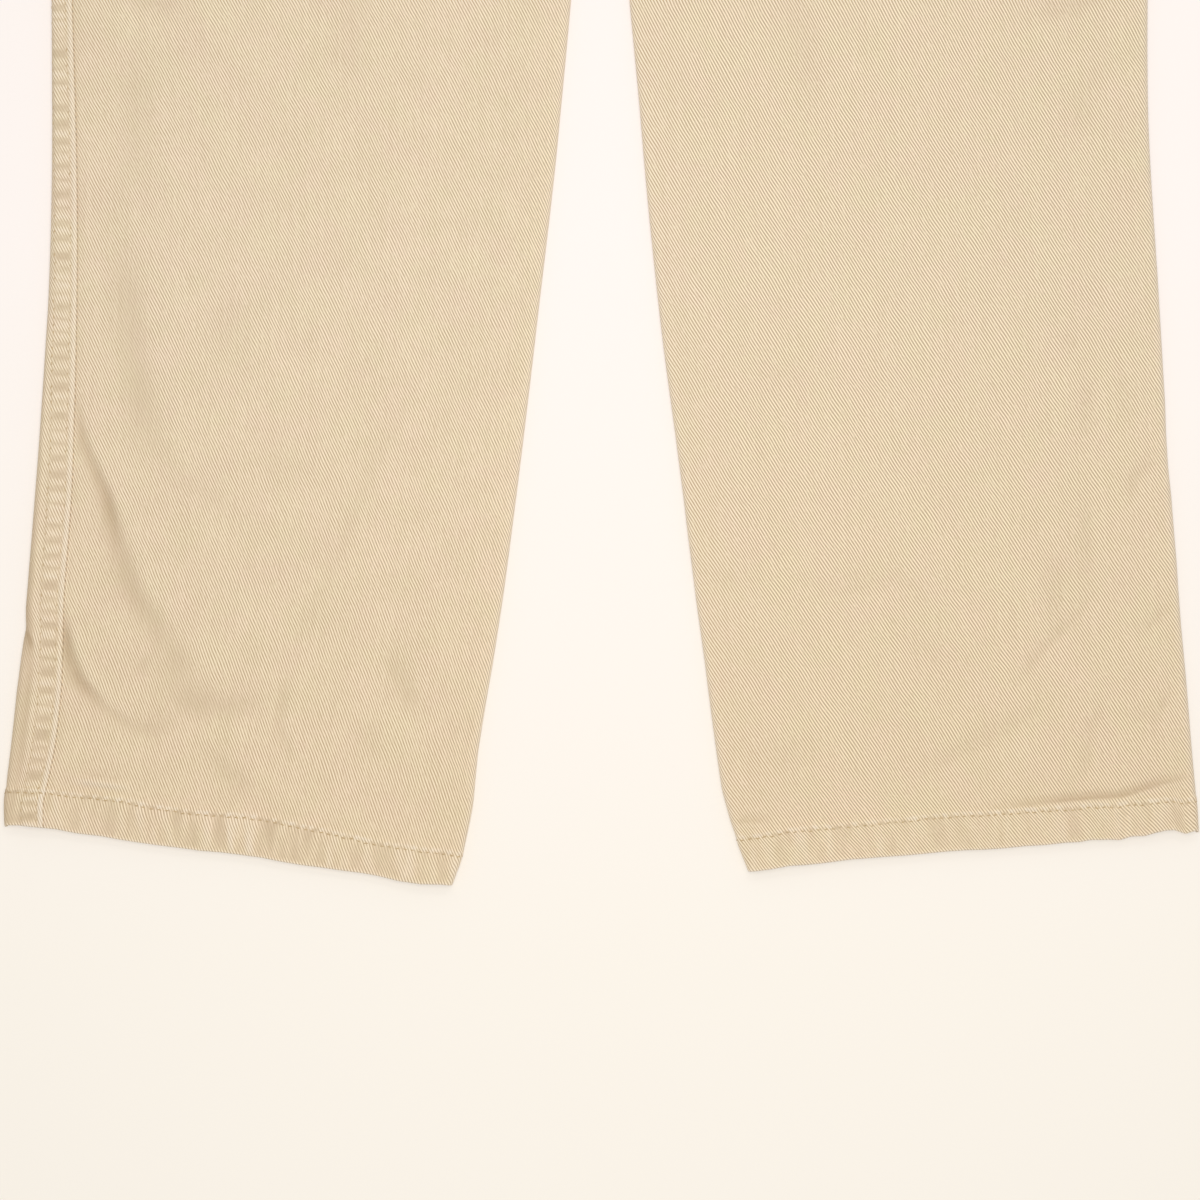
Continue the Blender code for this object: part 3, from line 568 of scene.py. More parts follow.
def washedTwill(name, contrast=1.0, mottle=0.12, turned=0.0):
    # cotton twill, garment washed: matt, dry, beige on the line, paler where edges are rubbed and where light is
    # painted in, darker where shade is painted in
    levels = {"Roughness": 0.88, "Specular IOR Level": 0.25, "Sheen Weight": 0.12, "Sheen Roughness": 0.5}
    material, tree, shader = newMaterial(name, levels)
    grain = addNode(tree, "UVMap", uv_map="grain").outputs["UV"]
    place = addNode(tree, "TexCoord").outputs["Object"]
    wearAndLight = addNode(tree, "Attribute", attribute_name="wearAndLight").outputs["Fac"]
    perLine = 1000 / twillLook["period"]
    turn = -math.radians(twillLook["slant"]) + turned
    lines = addNode(tree, "Mapping", {"Rotation": (0, 0, turn), "Scale": (perLine, perLine, perLine)},
                    {"Vector": grain})
    # the lines waver and break where yarns are thick or thin
    waver = addNode(tree, "TexNoise", {"Scale": 0.07, "Detail": 1.0}, {"Vector": lines})
    across = addNode(tree, "SeparateXYZ", links={"Vector": lines})
    pushed = addNode(tree, "Math", {1: 1.1}, {0: waver, 2: across.outputs["X"]}, operation="MULTIPLY_ADD")
    angle = addNode(tree, "Math", {1: 2 * math.pi}, {0: pushed}, operation="MULTIPLY")
    wave = addNode(tree, "Math", links={0: angle}, operation="SINE")
    yarns = addNode(tree, "Mapping", {"Scale": (0.8, 0.3, 1)}, {"Vector": lines})
    uneven = addNode(tree, "TexNoise", {"Scale": 1.0, "Detail": 2.0, "Roughness": 0.6}, {"Vector": yarns})
    span = {"From Min": 0.3, "From Max": 0.7, "To Min": 0.18 * contrast, "To Max": 0.88 * contrast}
    even = addNode(tree, "MapRange", span, {"Value": uneven})
    taut = addNode(tree, "Math", {1: 1.3, 2: 1.0}, {0: wearAndLight}, operation="MULTIPLY_ADD")  # stronger where wear and painted light are high, weaker in painted shade
    firm = addNode(tree, "Math", {1: 0.55}, {0: taut}, operation="MAXIMUM")
    strength = addNode(tree, "Math", links={0: even, 1: firm}, operation="MULTIPLY")
    line = addNode(tree, "Math", {2: 0.5}, {0: wave, 1: strength},
                   operation="MULTIPLY_ADD")
    slubs = addNode(tree, "Mapping", {"Scale": (1000 / 1.1, 1000 / 45, 1)}, {"Vector": grain})
    streak = addNode(tree, "TexNoise", {"Scale": 1.0, "Detail": 2.0}, {"Vector": slubs})
    blotch = addNode(tree, "TexNoise", {"Scale": 65.0, "Detail": 2.0, "Roughness": 0.5}, {"Vector": place})
    uneasy = addNode(tree, "Math", {1: mottle, 2: -0.5 * mottle - 0.1}, {0: blotch}, operation="MULTIPLY_ADD")
    shift = addNode(tree, "Math", {1: 0.2}, {0: streak, 2: uneasy}, operation="MULTIPLY_ADD")
    tone = addNode(tree, "Math", links={0: line, 1: shift}, operation="ADD", use_clamp=True)
    cloth = addNode(tree, "MixRGB", {"Color1": srgb(twillLook["dark"]), "Color2": srgb(twillLook["light"])},
                    {"Fac": tone})
    # washed patches, some warmer and some greyer, none with an edge
    patch = addNode(tree, "TexNoise", {"Scale": 60.0, "Detail": 4.0, "Roughness": 0.6}, {"Vector": place})
    tinged = addNode(tree, "MapRange", {"From Min": 0.32, "From Max": 0.68}, {"Value": patch})
    warmth = addNode(tree, "MixRGB", {"Color1": srgb("#fdfaf0"), "Color2": srgb("#fff8f3")},
                     {"Fac": tinged})
    washed = addNode(tree, "MixRGB", {"Fac": 1.0}, {"Color1": cloth, "Color2": warmth},
                     blend_type="MULTIPLY")
    # painted light: the cloth is tinted slightly warmer towards the hems, as if the light were warmer there
    height = addNode(tree, "SeparateXYZ", links={"Vector": place})
    upLeg = addNode(tree, "MapRange", {"From Min": -0.53, "From Max": -0.26}, {"Value": height.outputs["Y"]})
    warmLightBelow = addNode(tree, "MixRGB", {"Color1": srgb("#fffcf7"), "Color2": srgb("#ffffff")}, {"Fac": upLeg})
    underWarmLight = addNode(tree, "MixRGB", {"Fac": 1.0}, {"Color1": washed, "Color2": warmLightBelow},
                   blend_type="MULTIPLY")
    # paler where the cloth is rubbed and where light is painted in, mostly on the weave's dark lines
    rubbedAndLit = addNode(tree, "Math", {1: 0.56}, {0: wearAndLight}, operation="MULTIPLY", use_clamp=True)
    byLine = addNode(tree, "Math", {1: 0.55, 2: 0.45}, {0: tone}, operation="MULTIPLY_ADD")
    onLines = addNode(tree, "Math", links={0: rubbedAndLit, 1: byLine},
                      operation="MULTIPLY")
    pale = addNode(tree, "MixRGB", {"Color2": srgb(twillLook["wearAndLight"])},
                   {"Fac": onLines, "Color1": underWarmLight})
    # painted shade: where the attribute is below 0 the cloth turns towards the deeper colour
    paintedShade = addNode(tree, "Math", {1: -0.6}, {0: wearAndLight}, operation="MULTIPLY", use_clamp=True)
    final = addNode(tree, "MixRGB", {"Color2": srgb(twillLook["deep"])},
                    {"Fac": paintedShade, "Color1": pale})
    tree.links.new(final.outputs["Color"], shader.inputs["Base Color"])
    lint = addNode(tree, "TexNoise", {"Scale": 2200.0, "Detail": 2.0}, {"Vector": place})
    relief = addNode(tree, "Math", {1: 0.35}, {0: lint, 2: line}, operation="MULTIPLY_ADD")
    bump = addNode(tree, "Bump", {"Strength": 0.6, "Distance": twillLook["bump"] * mm}, {"Height": relief})
    tree.links.new(bump.outputs["Normal"], shader.inputs["Normal"])
    return material


def spunThread():
    # spun polyester sewing thread, tone on tone: a shade darker than the cloth, twisted, faint sheen
    material, tree, shader = newMaterial("spun sewing thread", {"Roughness": 0.6, "Sheen Weight": 0.1})
    place = addNode(tree, "TexCoord").outputs["Object"]
    fuzz = addNode(tree, "TexNoise", {"Scale": 900.0, "Detail": 2.0}, {"Vector": place})
    tone = addNode(tree, "MixRGB", {"Color1": srgb("#b59a71"), "Color2": srgb("#d2b98f")}, {"Fac": fuzz})
    tree.links.new(tone.outputs["Color"], shader.inputs["Base Color"])
    bump = addNode(tree, "Bump", {"Strength": 0.4, "Distance": 0.08 * mm}, {"Height": fuzz})
    tree.links.new(bump.outputs["Normal"], shader.inputs["Normal"])
    return material


def agedBrass():
    # cast brass, antiqued: dark in the hollows and rubbed bright on the rim
    material, tree, shader = newMaterial("antiqued brass", {"Metallic": 1.0})
    place = addNode(tree, "TexCoord").outputs["Object"]
    stains = addNode(tree, "TexNoise", {"Scale": 420.0, "Detail": 4.0}, {"Vector": place})
    rubbedAndLit = addNode(tree, "Attribute", attribute_name="wearAndLight").outputs["Fac"]
    mixed = addNode(tree, "Math", {1: 0.5}, {0: stains, 2: rubbedAndLit}, operation="MULTIPLY_ADD", use_clamp=True)
    tone = addNode(tree, "MixRGB", {"Color1": srgb("#5f4b33"), "Color2": srgb("#b8995f")}, {"Fac": mixed})
    tree.links.new(tone.outputs["Color"], shader.inputs["Base Color"])
    rough = addNode(tree, "MapRange", {"To Min": 0.3, "To Max": 0.5}, {"Value": stains})
    tree.links.new(rough.outputs["Result"], shader.inputs["Roughness"])
    bump = addNode(tree, "Bump", {"Strength": 0.3, "Distance": 0.06 * mm}, {"Height": stains})
    tree.links.new(bump.outputs["Normal"], shader.inputs["Normal"])
    return material


twill = {-1: washedTwill("garment-washed cotton twill", 0.92, 0.16),
         1: washedTwill("garment-washed cotton twill, crisper", 1.2, 0.08)}
bandTwill = washedTwill("garment-washed cotton twill, warp along the band", turned=math.pi / 2)
thread = spunThread()
brass = agedBrass()
print("materials made")


sides = ((-1, "left"), (1, "right"))
photoTop = 262  # the photo shows the garment up to here


def alongBreaks(column, breaks, counts):  # positions between the breaks, counts of columns in each stretch
    marks = np.append(0, np.cumsum(counts))
    way = np.zeros(np.shape(column)) + breaks[0]
    for k, count in enumerate(counts):
        t = np.clip((column - marks[k]) / count, 0, 1)
        way = way + (breaks[k + 1] - breaks[k]) * t
    return way


def spreadRows(breaks, steps):  # heights between the breaks, no further apart than the steps
    ups = [breaks[0]]
    for start, end, step in zip(breaks, breaks[1:], steps):
        count = max(1, round(abs(end - start) / step))
        ups += [start + (end - start) * k / count for k in range(1, count + 1)]
    return np.array(ups)


def cover(piece, node):
    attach(piece, "root")
    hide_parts(node)


def layCloth(name, rows, columns, place, material, thickness, flip=False, finer=()):
    # a grid whose points place() lays on the form; the rows in finer are split once more across
    bm = bmesh.new()
    bmesh.ops.create_grid(bm, x_segments=columns, y_segments=rows, size=0.5)
    for low, high in finer:
        edges = []
        for edge in bm.edges:
            ends = [(vert.co.y + 0.5) * rows for vert in edge.verts]
            if abs(ends[0] - ends[1]) < 1e-3 and low - 1e-3 <= ends[0] <= high + 1e-3:
                edges.append(edge)
        bmesh.ops.subdivide_edges(bm, edges=edges, cuts=1, use_grid_fill=True)
    grid = np.array([vert.co.xy for vert in bm.verts]) + 0.5
    points, grain, wearAndLight = place(grid[:, 1] * rows, grid[:, 0] * columns)
    for vert, point in zip(bm.verts, points):
        vert.co = point
    if flip:
        bmesh.ops.reverse_faces(bm, faces=bm.faces[:])
    return finishCloth(name, bm, grain, wearAndLight, material, thickness)


def finishCloth(name, bm, grain, wearAndLight, material, thickness):
    mesh = meshFrom(bm, name)
    corners = np.zeros(len(mesh.loops), dtype=np.int32)
    mesh.loops.foreach_get("vertex_index", corners)
    mesh.uv_layers.new(name="grain").data.foreach_set("uv", np.asarray(grain)[corners].astype(np.float32).ravel())
    # this attribute carries rubbed wear together with painted light and painted shade
    mesh.attributes.new("wearAndLight", "FLOAT", "POINT").data.foreach_set("value", np.asarray(wearAndLight, dtype=np.float32))
    mesh.shade_smooth()
    mesh.materials.append(material)
    piece = addObject(name, mesh)
    if thickness:
        wall = piece.modifiers.new("cloth", "SOLIDIFY")
        wall.thickness = thickness * mm
        wall.offset = -1
    return piece


def grainOf(side, up, around):  # warp up the leg, seen from outside, in metres
    turning = np.minimum(up - hemUp[side] - hemSew(side, around), 0) * (up < 60)
    return np.stack([-side * around + hemLook["skew"][side] * turning, up], axis=-1) * mm


def facingUp(side, up, around):  # 1 on the upper layer, down to 0 at the rolled edges and underneath
    outer = np.where(around < 0, 0.0, np.sin(np.clip(around / laid["roll"], 0, math.pi / 2)))
    roll = innerRoll(up)
    turn = np.clip(roll - (topLength(side, up) - around) / laid["roll"], 0, math.pi / 2)
    return np.where((around > topLength(side, up)) & (roll > 0), 0.0, outer * np.cos(turn))


def laidLift(side, up, around, lift):  # underneath, the cloth only gives way upwards
    facing = facingUp(side, up, around)
    return lift * facing + np.minimum(lift, 0) * 0.5 * (1 - facing)


# how strongly the rolled edges are painted paler (wear and painted light) and the left outer one darker (painted
# shade)
edgeTone = {"inner": 1.3, "innerWidth": 2.8, "outer": 1.5, "outerWidth": 3.0, "leftShade": -0.2}


def rubbedAndLitEdges(side, up, around):  # paler on the rolled edges, partly rubbed wear and partly painted light where they turn away from the lamps; painted shade on the left outer one
    inner = dip(topLength(side, up) - around, edgeTone["innerWidth"]) * (innerRoll(up) > 0.8)
    if side > 0:
        return edgeTone["inner"] * inner + edgeTone["outer"] * dip(around, edgeTone["outerWidth"])
    return edgeTone["inner"] * inner + edgeTone["leftShade"] * (around > -2) * (1 - ease((around - 1.5) / 3))


# Hem: turned up twice and sewn with one row of stitches, puckered by washing
hemLook = {
    "raise": 0.75,
    "foldRadius": 0.6,
    "groove": 0.2,
    "ripple": {-1: 0.5, 1: 0.32},
    "curl": 0.26,
    "drawn": (112, 32),  # the left hem is drawn up most here, by the way round
    "slant": 0.08,
    "skew": {-1: -0.22, 1: 0.18},  # the turning lies a little askew, so its twill lines do too
    "pliesAbove": 1.7,  # the turning ends this far above the stitches
}
# Height of the stitches above the folded edge, by the way round from the outer edge.
hemStitches = {
    -1: [(0, 14.6), (20, 15.7), (33, 16.3), (57, 16.8), (70, 16.0), (88, 15.7), (101, 16.2), (113, 16.8), (126, 16.6),
         (138, 15.9), (151, 14.7), (163, 13.7), (172, 13.4), (182, 14.0), (194, 13.2), (205, 13.0)],
    1: [(0, 13.0), (15, 12.5), (22, 13.2), (34, 13.9), (59, 14.2), (71, 14.6), (90, 14.9), (102, 15.1), (121, 15.3),
        (133, 15.0), (150, 14.8), (164, 14.8), (171, 15.3), (183, 15.0), (200, 14.4)],
}
hemRipples = {-1: puckerLine(11, 440, 7.0, 1.5, 0.6), 1: puckerLine(12, 440, 7.4, 1.7, 0.6)}
hemCurls = {-1: puckerLine(15, 440, 4.2, 1.1, 0.45), 1: puckerLine(16, 440, 4.2, 1.1, 0.45)}
hemPulls = {-1: puckerLine(13, 440, 13.5, 3.2), 1: puckerLine(14, 440, 13.5, 3.2)}


def hemSew(side, around):
    ways, heights = zip(*hemStitches[side])
    return np.interp(np.abs(around), ways, heights)


def hemRelief(side, up, around):
    above = up - hemUp[side]
    sewn = hemSew(side, around)
    fromSew = above - sewn
    ring = np.where(around < 0, around + 2 * topLength(side, up), around)
    plies = 1 - ease((fromSew - hemLook["pliesAbove"]) / 1.4)
    r = hemLook["foldRadius"]
    bend = np.clip(r - above, 0, r)
    folded = r - np.sqrt(r * r - bend**2)
    middle, spread = hemLook["drawn"]
    drawn = 0.8 + 0.75 * dip(around - middle, spread) if side < 0 else 1.0
    ripple = 0.6 * readLine(hemRipples[side], ring + hemLook["slant"] * fromSew)
    ripple += 0.55 * readLine(hemCurls[side], 0.5 * (ring - 0.3 * fromSew))  # a second set leans the other way
    pull = readLine(hemPulls[side], ring + 0.25 * fromSew)
    within = ease(above / 2.5) * (1 - ease((fromSew + 1.2) / 3))
    beyond = ease((fromSew + 1) / 2.5) * (1 - ease(fromSew / 11))
    puckered = drawn * hemLook["ripple"][side] * (ripple * within + 0.9 * pull * (0.5 * within + beyond))
    lift = hemLook["raise"] * plies - folded - hemLook["groove"] * dip(fromSew, 0.9) + puckered
    curl = readLine(hemCurls[side], ring - 0.5 * fromSew) * dip(fromSew - 1.0, 1.1)
    lift += 0.12 * dip(fromSew - 1.5, 0.7) + hemLook["curl"] * curl
    # paler on the folded bottom edge, partly wear and partly painted light where it turns down from the lamps;
    # painted light and shade on the swells and hollows of the puckers and curls; painted shade in the stitch groove
    # and a painted highlight on the plies' edge above it
    wearAndLight = 1.1 * (1 - ease(above / 1.4)) + 1.9 * puckered * plies + 1.9 * curl
    wearAndLight = wearAndLight - 0.18 * dip(fromSew, 0.6) + 0.55 * dip(fromSew - 1.6, 0.8)
    return lift, wearAndLight * (above < 40)


# Felled side seam: the back panel's folded edge lies over the front, held by two rows of stitches
fellLook = {
    "raise": 0.32,
    "rowIn": 3.2,  # rows of stitches, from the folded edge
    "rowOut": 10.3,
    "ridge": 0.36,
    "groove": 0.16,
    "puff": 0.66,
    "slant": 0.12,
    "tuck": 1.6,  # the front panel runs on this far under the folded edge
}
fellPuffs = {-1: puckerLine(21, 1100, 6.4, 1.6, 0.3), 1: puckerLine(22, 1100, 6.4, 1.6, 0.3)}


def fellRelief(side, up, around):
    fromEdge = seamWay(side, up) - around
    fold = 0.8 - np.sqrt(np.clip(0.8**2 - np.clip(0.8 - fromEdge, 0, 0.8) ** 2, 0, None))
    plies = 1 - ease((fromEdge - fellLook["rowOut"] + 0.3) / 2.0)
    puff = readLine(fellPuffs[side], up + fellLook["slant"] * (fromEdge - 6.5))
    band = ease((fromEdge - 2.6) / 1.8) * (1 - ease((fromEdge - 8.6) / 2.2))
    ridge = dip(fromEdge - 1.3, 1.1)
    grooves = dip(fromEdge - fellLook["rowIn"], 0.5) + 0.8 * dip(fromEdge - fellLook["rowOut"], 0.7)
    outside = ease((fromEdge - fellLook["rowOut"]) / 1.5) * (1 - ease((fromEdge - fellLook["rowOut"]) / 6))
    lift = fellLook["raise"] * plies - fold + fellLook["ridge"] * ridge - fellLook["groove"] * grooves
    lift += fellLook["puff"] * puff * (band + 0.3 * outside)
    # rubbed wear pales the ridge; painted light on its steep folded edge and on the puffs, painted shade in the
    # stitch grooves, and shade is painted where the cloth rolls round the outer edge
    shade = 0.2 + 0.32 * dip(up - 126, 28)
    wearAndLight = 1.2 * ridge + 1.7 * puff * band - 0.22 * grooves - 0.05 * band + 0.3 * puff * outside
    wearAndLight = wearAndLight + 0.5 * dip(fromEdge, 0.35) + 0.15 * dip(fromEdge - 12.2, 0.9) - shade * ease((fromEdge - 12.6) / 2.4)
    return lift, wearAndLight


frontCut = {"flat": (0.282, 1.02), "area": 0.256, "thickness": 1.0}
pocket = {"drop": 78.0, "reach": 104.0, "rows": (2.2, 8.2), "raise": 0.45}


def pocketCut(up):  # way of the pocket's scooped edge from the outer edge
    share = np.clip((laid["waistSeam"] - up) / pocket["drop"], 0, 1)
    return pocket["reach"] * np.sqrt(1 - share**2) * (up > laid["waistSeam"] - pocket["drop"])


def fromPocket(up, around):  # distance of a point of the front panel from the pocket's edge
    drop, reach = pocket["drop"], pocket["reach"]
    away = np.hypot(around / reach, (laid["waistSeam"] - up) / drop)
    slope = np.hypot(around / reach**2, (laid["waistSeam"] - up) / drop**2) / np.maximum(away, 1e-6)
    return (away - 1) / np.maximum(slope, 1e-6)


def centreRun(up):  # grows above the crotch
    return laid["centreRun"] * ease((up - laid["crotch"] - laid["crotchRise"]) / 4)


def underLap(side, up, around):  # how far the hidden part of a centre seam is pressed in
    past = np.abs(around) - topLength(side, up)
    return laid["centrePress"] * ease((past + 0.9) / 0.9) * (up > laid["crotch"] + laid["crotchRise"])


def frontWay(side, up, column, counts):
    length = topLength(side, up)
    start = np.maximum(seamWay(side, up), pocketCut(up))
    tucked = start - 0.15 - fellLook["tuck"] * (1 - ease((up - 900) / 20))
    end = length + inseamWay(side, up) - laid["seamGap"] / 2 + (centreRun(up) if side < 0 else 0)
    flat = np.minimum(length + quarter, end - 1.0)
    edge = np.minimum(length, flat - 2.4)
    inner = np.minimum(length - laid["roll"] * innerRoll(up), edge - 2.4)
    outer = np.maximum(quarter, start + 2.4)
    return alongBreaks(column, (tucked, start, outer, inner, edge, flat, end), counts)


def frontRelief(side, up, around):
    lift, wearAndLight = hemRelief(side, up, around)
    wearAndLight = wearAndLight + rubbedAndLitEdges(side, up, around) + paintedCreaseShade(side, up, around)
    beside = np.where(up > 600, fromPocket(up, around), 99.0)
    edge = 0.9 - np.sqrt(0.81 - np.clip(0.9 - beside, 0, 0.9) ** 2)
    faced = 1 - ease((beside - 9) / 2)
    grooves = rowGrooves(beside, pocket["rows"])
    lift = lift + faced * pocket["raise"] - edge - 0.25 * grooves
    # the pocket's edge is rubbed paler; the stitch grooves get painted shade
    wearAndLight = wearAndLight + 0.8 * (1 - ease(beside / 1.6)) - 0.4 * grooves
    past = around - seamWay(side, up)
    sewn = 1 - ease((up - 900) / 20)
    lift = lift - (0.1 * ease((0.3 - past) / 0.5) + 0.95 * ease(-past / 1.2)) * sewn
    if side < 0:  # the cloth is drawn down a little beside the felled seam
        lift = lift - 0.1 * dip(past, 1.8) * sewn
        lift = lift - underLap(side, up, around)
        # painted light and shade at the foot of the felled seam's step: paler low on the leg, darker higher up, and a
        # faint shade just beyond
        wearAndLight = wearAndLight + (0.25 - 0.45 * ease((up - 190) / 30)) * dip(past - 0.2, 0.5) - 0.1 * dip(past - 1.5, 1.5)
    return laidLift(side, up, around, lift), wearAndLight


def addFront(side, word):
    hem = hemUp[side]
    seam = laid["waistSeam"]
    ups = spreadRows(
        (hem, hem + 1.2, hem + 11, hem + 19, hem + 24, photoTop, 420, 760, 786, 830, seam - pocket["drop"]),
        (0.3, 1.2, 0.6, 1.2, 1.75, 4.2, 6.2, 3.8, 6.0, 6.0),
    )
    turns = np.radians(np.linspace(0, 90, 25)[1:])
    ups = np.append(ups, seam - laid["seamGap"] / 2 - (pocket["drop"] - laid["seamGap"] / 2) * np.cos(turns))
    rows = len(ups) - 1
    counts = (4, 4, 72, 6, 5, 3)
    photoRows = int(np.searchsorted(ups, photoTop))
    hemRows = int(np.searchsorted(ups, hem + 24))

    def place(row, column):
        up = np.interp(row, np.arange(len(ups)), ups)
        around = frontWay(side, up, column, counts)
        lift, wearAndLight = frontRelief(side, up, around)
        return form(side, up, around, lift), grainOf(side, up, around), wearAndLight

    return layCloth("front_panel_" + word, rows, sum(counts), place, twill[side], frontCut["thickness"], side > 0,
                    [(0, photoRows), (0, hemRows)])


def backWay(side, up, column, counts):
    start = seamWay(side, up) - laid["seamGap"] / 2
    breaks = [start, start - 4.2, start - 12.4]
    for mark in (quarter, 0.0, -quarter):
        breaks.append(np.minimum(mark, breaks[-1] - 0.7))
    end = laid["seamGap"] / 2 - topLength(side, up) + inseamWay(side, up) - (centreRun(up) if side > 0 else 0)
    flat = np.maximum(laid["roll"] * innerRoll(up) - topLength(side, up), end + 1.0)
    return alongBreaks(column, breaks + [np.minimum(flat, breaks[-1] - 1), end], counts)


yoke = {"side": 44.0, "centre": 76.0, "rows": (2.0, 8.0)}


def yokeSeam(side, up, around):
    width = readTable(legCuts[side], up, sectionColumns["width"])
    inward = np.clip((np.abs(around) - quarter) / width, 0, 1)
    return laid["waistSeam"] - yoke["side"] - (yoke["centre"] - yoke["side"]) * inward


backCut = {"flat": (0.285, 0.96), "area": 0.232, "thickness": 1.0}


def backRelief(side, up, around):
    hemLift, hemWearAndLight = hemRelief(side, up, around)
    fellLift, fellWearAndLight = fellRelief(side, up, around)
    middle = topLength(side, up) + around - laid["seamGap"] / 2  # from the middle line, underneath
    grooves = rowGrooves(middle, laid["centreRows"]) * (around < 0) * (up > laid["hip"] - 40) * (side < 0)
    lift = laidLift(side, up, around, hemLift + fellLift) - 0.25 * grooves
    lift = lift - (underLap(side, up, around) * (around < 0) if side > 0 else 0)
    # painted shade in the centre seam's stitch grooves
    return lift, hemWearAndLight + fellWearAndLight - 0.4 * grooves + rubbedAndLitEdges(side, up, around) + paintedCreaseShade(side, up, around)


def addBack(side, word):
    hem = hemUp[side]
    top = laid["waistSeam"] - yoke["side"]
    step = 2.1 if side < 0 else 4.2
    ups = spreadRows(
        (hem, hem + 1.2, hem + 11, hem + 19, hem + 24, photoTop, 560, 760, 786, 830, top),
        (0.4, 1.4, 0.6, 1.5, 1.9 if side < 0 else 3.4, step, step, 3.2, 3.4, 3.4),
    )
    rows = len(ups) - 1
    counts = (8, 12, 4, 4, 4, 46, 4)

    def place(row, column):
        up = np.interp(row, np.arange(len(ups)), ups)
        around = backWay(side, up, column, counts)
        bodyStart = laid["crotch"] + laid["crotchRise"]
        lowered = yokeSeam(side, up, around) - top - laid["seamGap"] / 2
        up = up + lowered * ease((up - bodyStart) / (top - bodyStart))
        around = backWay(side, up, column, counts)
        lift, wearAndLight = backRelief(side, up, around)
        return form(side, up, around, lift), grainOf(side, up, around), wearAndLight

    return layCloth("back_panel_" + word, rows, sum(counts), place, twill[side], backCut["thickness"], side < 0,
                    [(0, int(np.searchsorted(ups, hem + 24)))])


fronts = {side: addFront(side, word) for side, word in sides}
backs = {side: addBack(side, word) for side, word in sides}
print("legs laid:", [len(piece.data.polygons) for piece in (*fronts.values(), *backs.values())])


yokeCut = {"flat": (0.226, 0.077), "area": 0.0135, "thickness": 1.0}


def yokeRelief(side, up, around):
    above = up - yokeSeam(side, up, around)
    grooves = rowGrooves(above, yoke["rows"])
    tucked = underLap(side, up, around) * (around < 0) if side > 0 else 0
    # painted shade in the stitch grooves; the lower edge is rubbed paler
    return -0.25 * grooves - tucked, -0.4 * grooves + 0.5 * (1 - ease(above / 1.5))


def addYoke(side, word):
    counts = (8, 12, 4, 4, 4, 46, 4)
    rows = 26

    def place(row, column):
        seam = laid["waistSeam"]
        low = yokeSeam(side, seam, backWay(side, np.full(np.shape(row), seam), column, counts)) + laid["seamGap"] / 2
        up = low + (seam - laid["seamGap"] / 2 - low) * row / rows
        around = backWay(side, up, column, counts)
        lift, wearAndLight = yokeRelief(side, up, around)
        return form(side, up, around, lift), grainOf(side, up, around), wearAndLight

    return layCloth("yoke_cloth_" + word, rows, sum(counts), place, twill[side], yokeCut["thickness"], side < 0)


# Pocket facing: shows in the scooped opening and runs on under the front panel's edge
facingLook = {"flat": (0.107, 0.078), "area": 0.0066, "thickness": 1.0, "sink": 0.25, "under": 1.35, "tuck": 3.0}


def addFacing(side, word):
    counts = (6, 30)
    rows = 26

    def place(row, column):
        turn = np.radians(9 + 81 * row / rows)
        up = laid["waistSeam"] - pocket["drop"] * np.cos(turn) + 0.35
        up = np.minimum(up, laid["waistSeam"] - laid["seamGap"] / 2)
        edge = pocket["reach"] * np.sin(turn)
        around = alongBreaks(column, (laid["seamGap"] / 2, quarter, edge + facingLook["tuck"]), counts)
        sink = facingLook["sink"] + facingLook["under"] * ease(1 - (edge - 1 - around) / 9)
        # painted shade under the front panel's edge
        wearAndLight = -0.35 * ease(1 - (edge - around) / 3)
        return form(side, up, around, -sink), grainOf(side, up, around), wearAndLight

    return layCloth("pocket_facing_cloth_" + word, rows, sum(counts), place, twill[side], facingLook["thickness"],
                    side > 0)


# Patch pocket on the seat: wider at its mouth, with a pointed foot and a double-sewn edge
backPocket = {
    "mouth": ((34, 912), (186, 905)),
    "foot": ((44, 775), (112, 745), (180, 775)),
    "rows": (2.0, 8.0),
    "mouthRows": (3.0, 13.0),
    "round": 6.0,
    "edgeWidths": (137, 152),  # at the foot and at the mouth
    "steps": (64, 60),
    "flat": (0.152, 0.165),
    "area": 0.0216,
    "thickness": 0.95,
}


def pocketPoint(s, t):  # place on the patch: s across, t from the foot to the mouth
    (inX, inUp), (outX, outUp) = backPocket["mouth"]
    footX = [x for x, up in backPocket["foot"]]
    footUps = [up for x, up in backPocket["foot"]]
    low = footX[0] + (footX[2] - footX[0]) * s
    high = inX + (outX - inX) * s
    x = low + (high - low) * t
    lowUp = np.interp(low, footX, footUps)
    # rounded lower corners and a softened point
    side = np.minimum(s, 1 - s) * (footX[2] - footX[0])
    lowUp = lowUp + backPocket["round"] * 0.55 * (1 - ease(side / backPocket["round"])) ** 2
    lowUp = lowUp + 1.2 * dip(low - footX[1], 5)
    return x, lowUp + (inUp + (outUp - inUp) * s - lowUp) * t


def pocketEdge(s, t):  # nearness to the sides and foot, and to the mouth
    x, up = pocketPoint(s, t)
    low, high = backPocket["edgeWidths"]
    width = low + (high - low) * t
    footUp = pocketPoint(s, np.zeros(np.shape(s)))[1]
    mouthUp = pocketPoint(s, np.ones(np.shape(s)))[1]
    return np.minimum(np.minimum(s, 1 - s) * width, (up - footUp) * 0.9), mouthUp - up


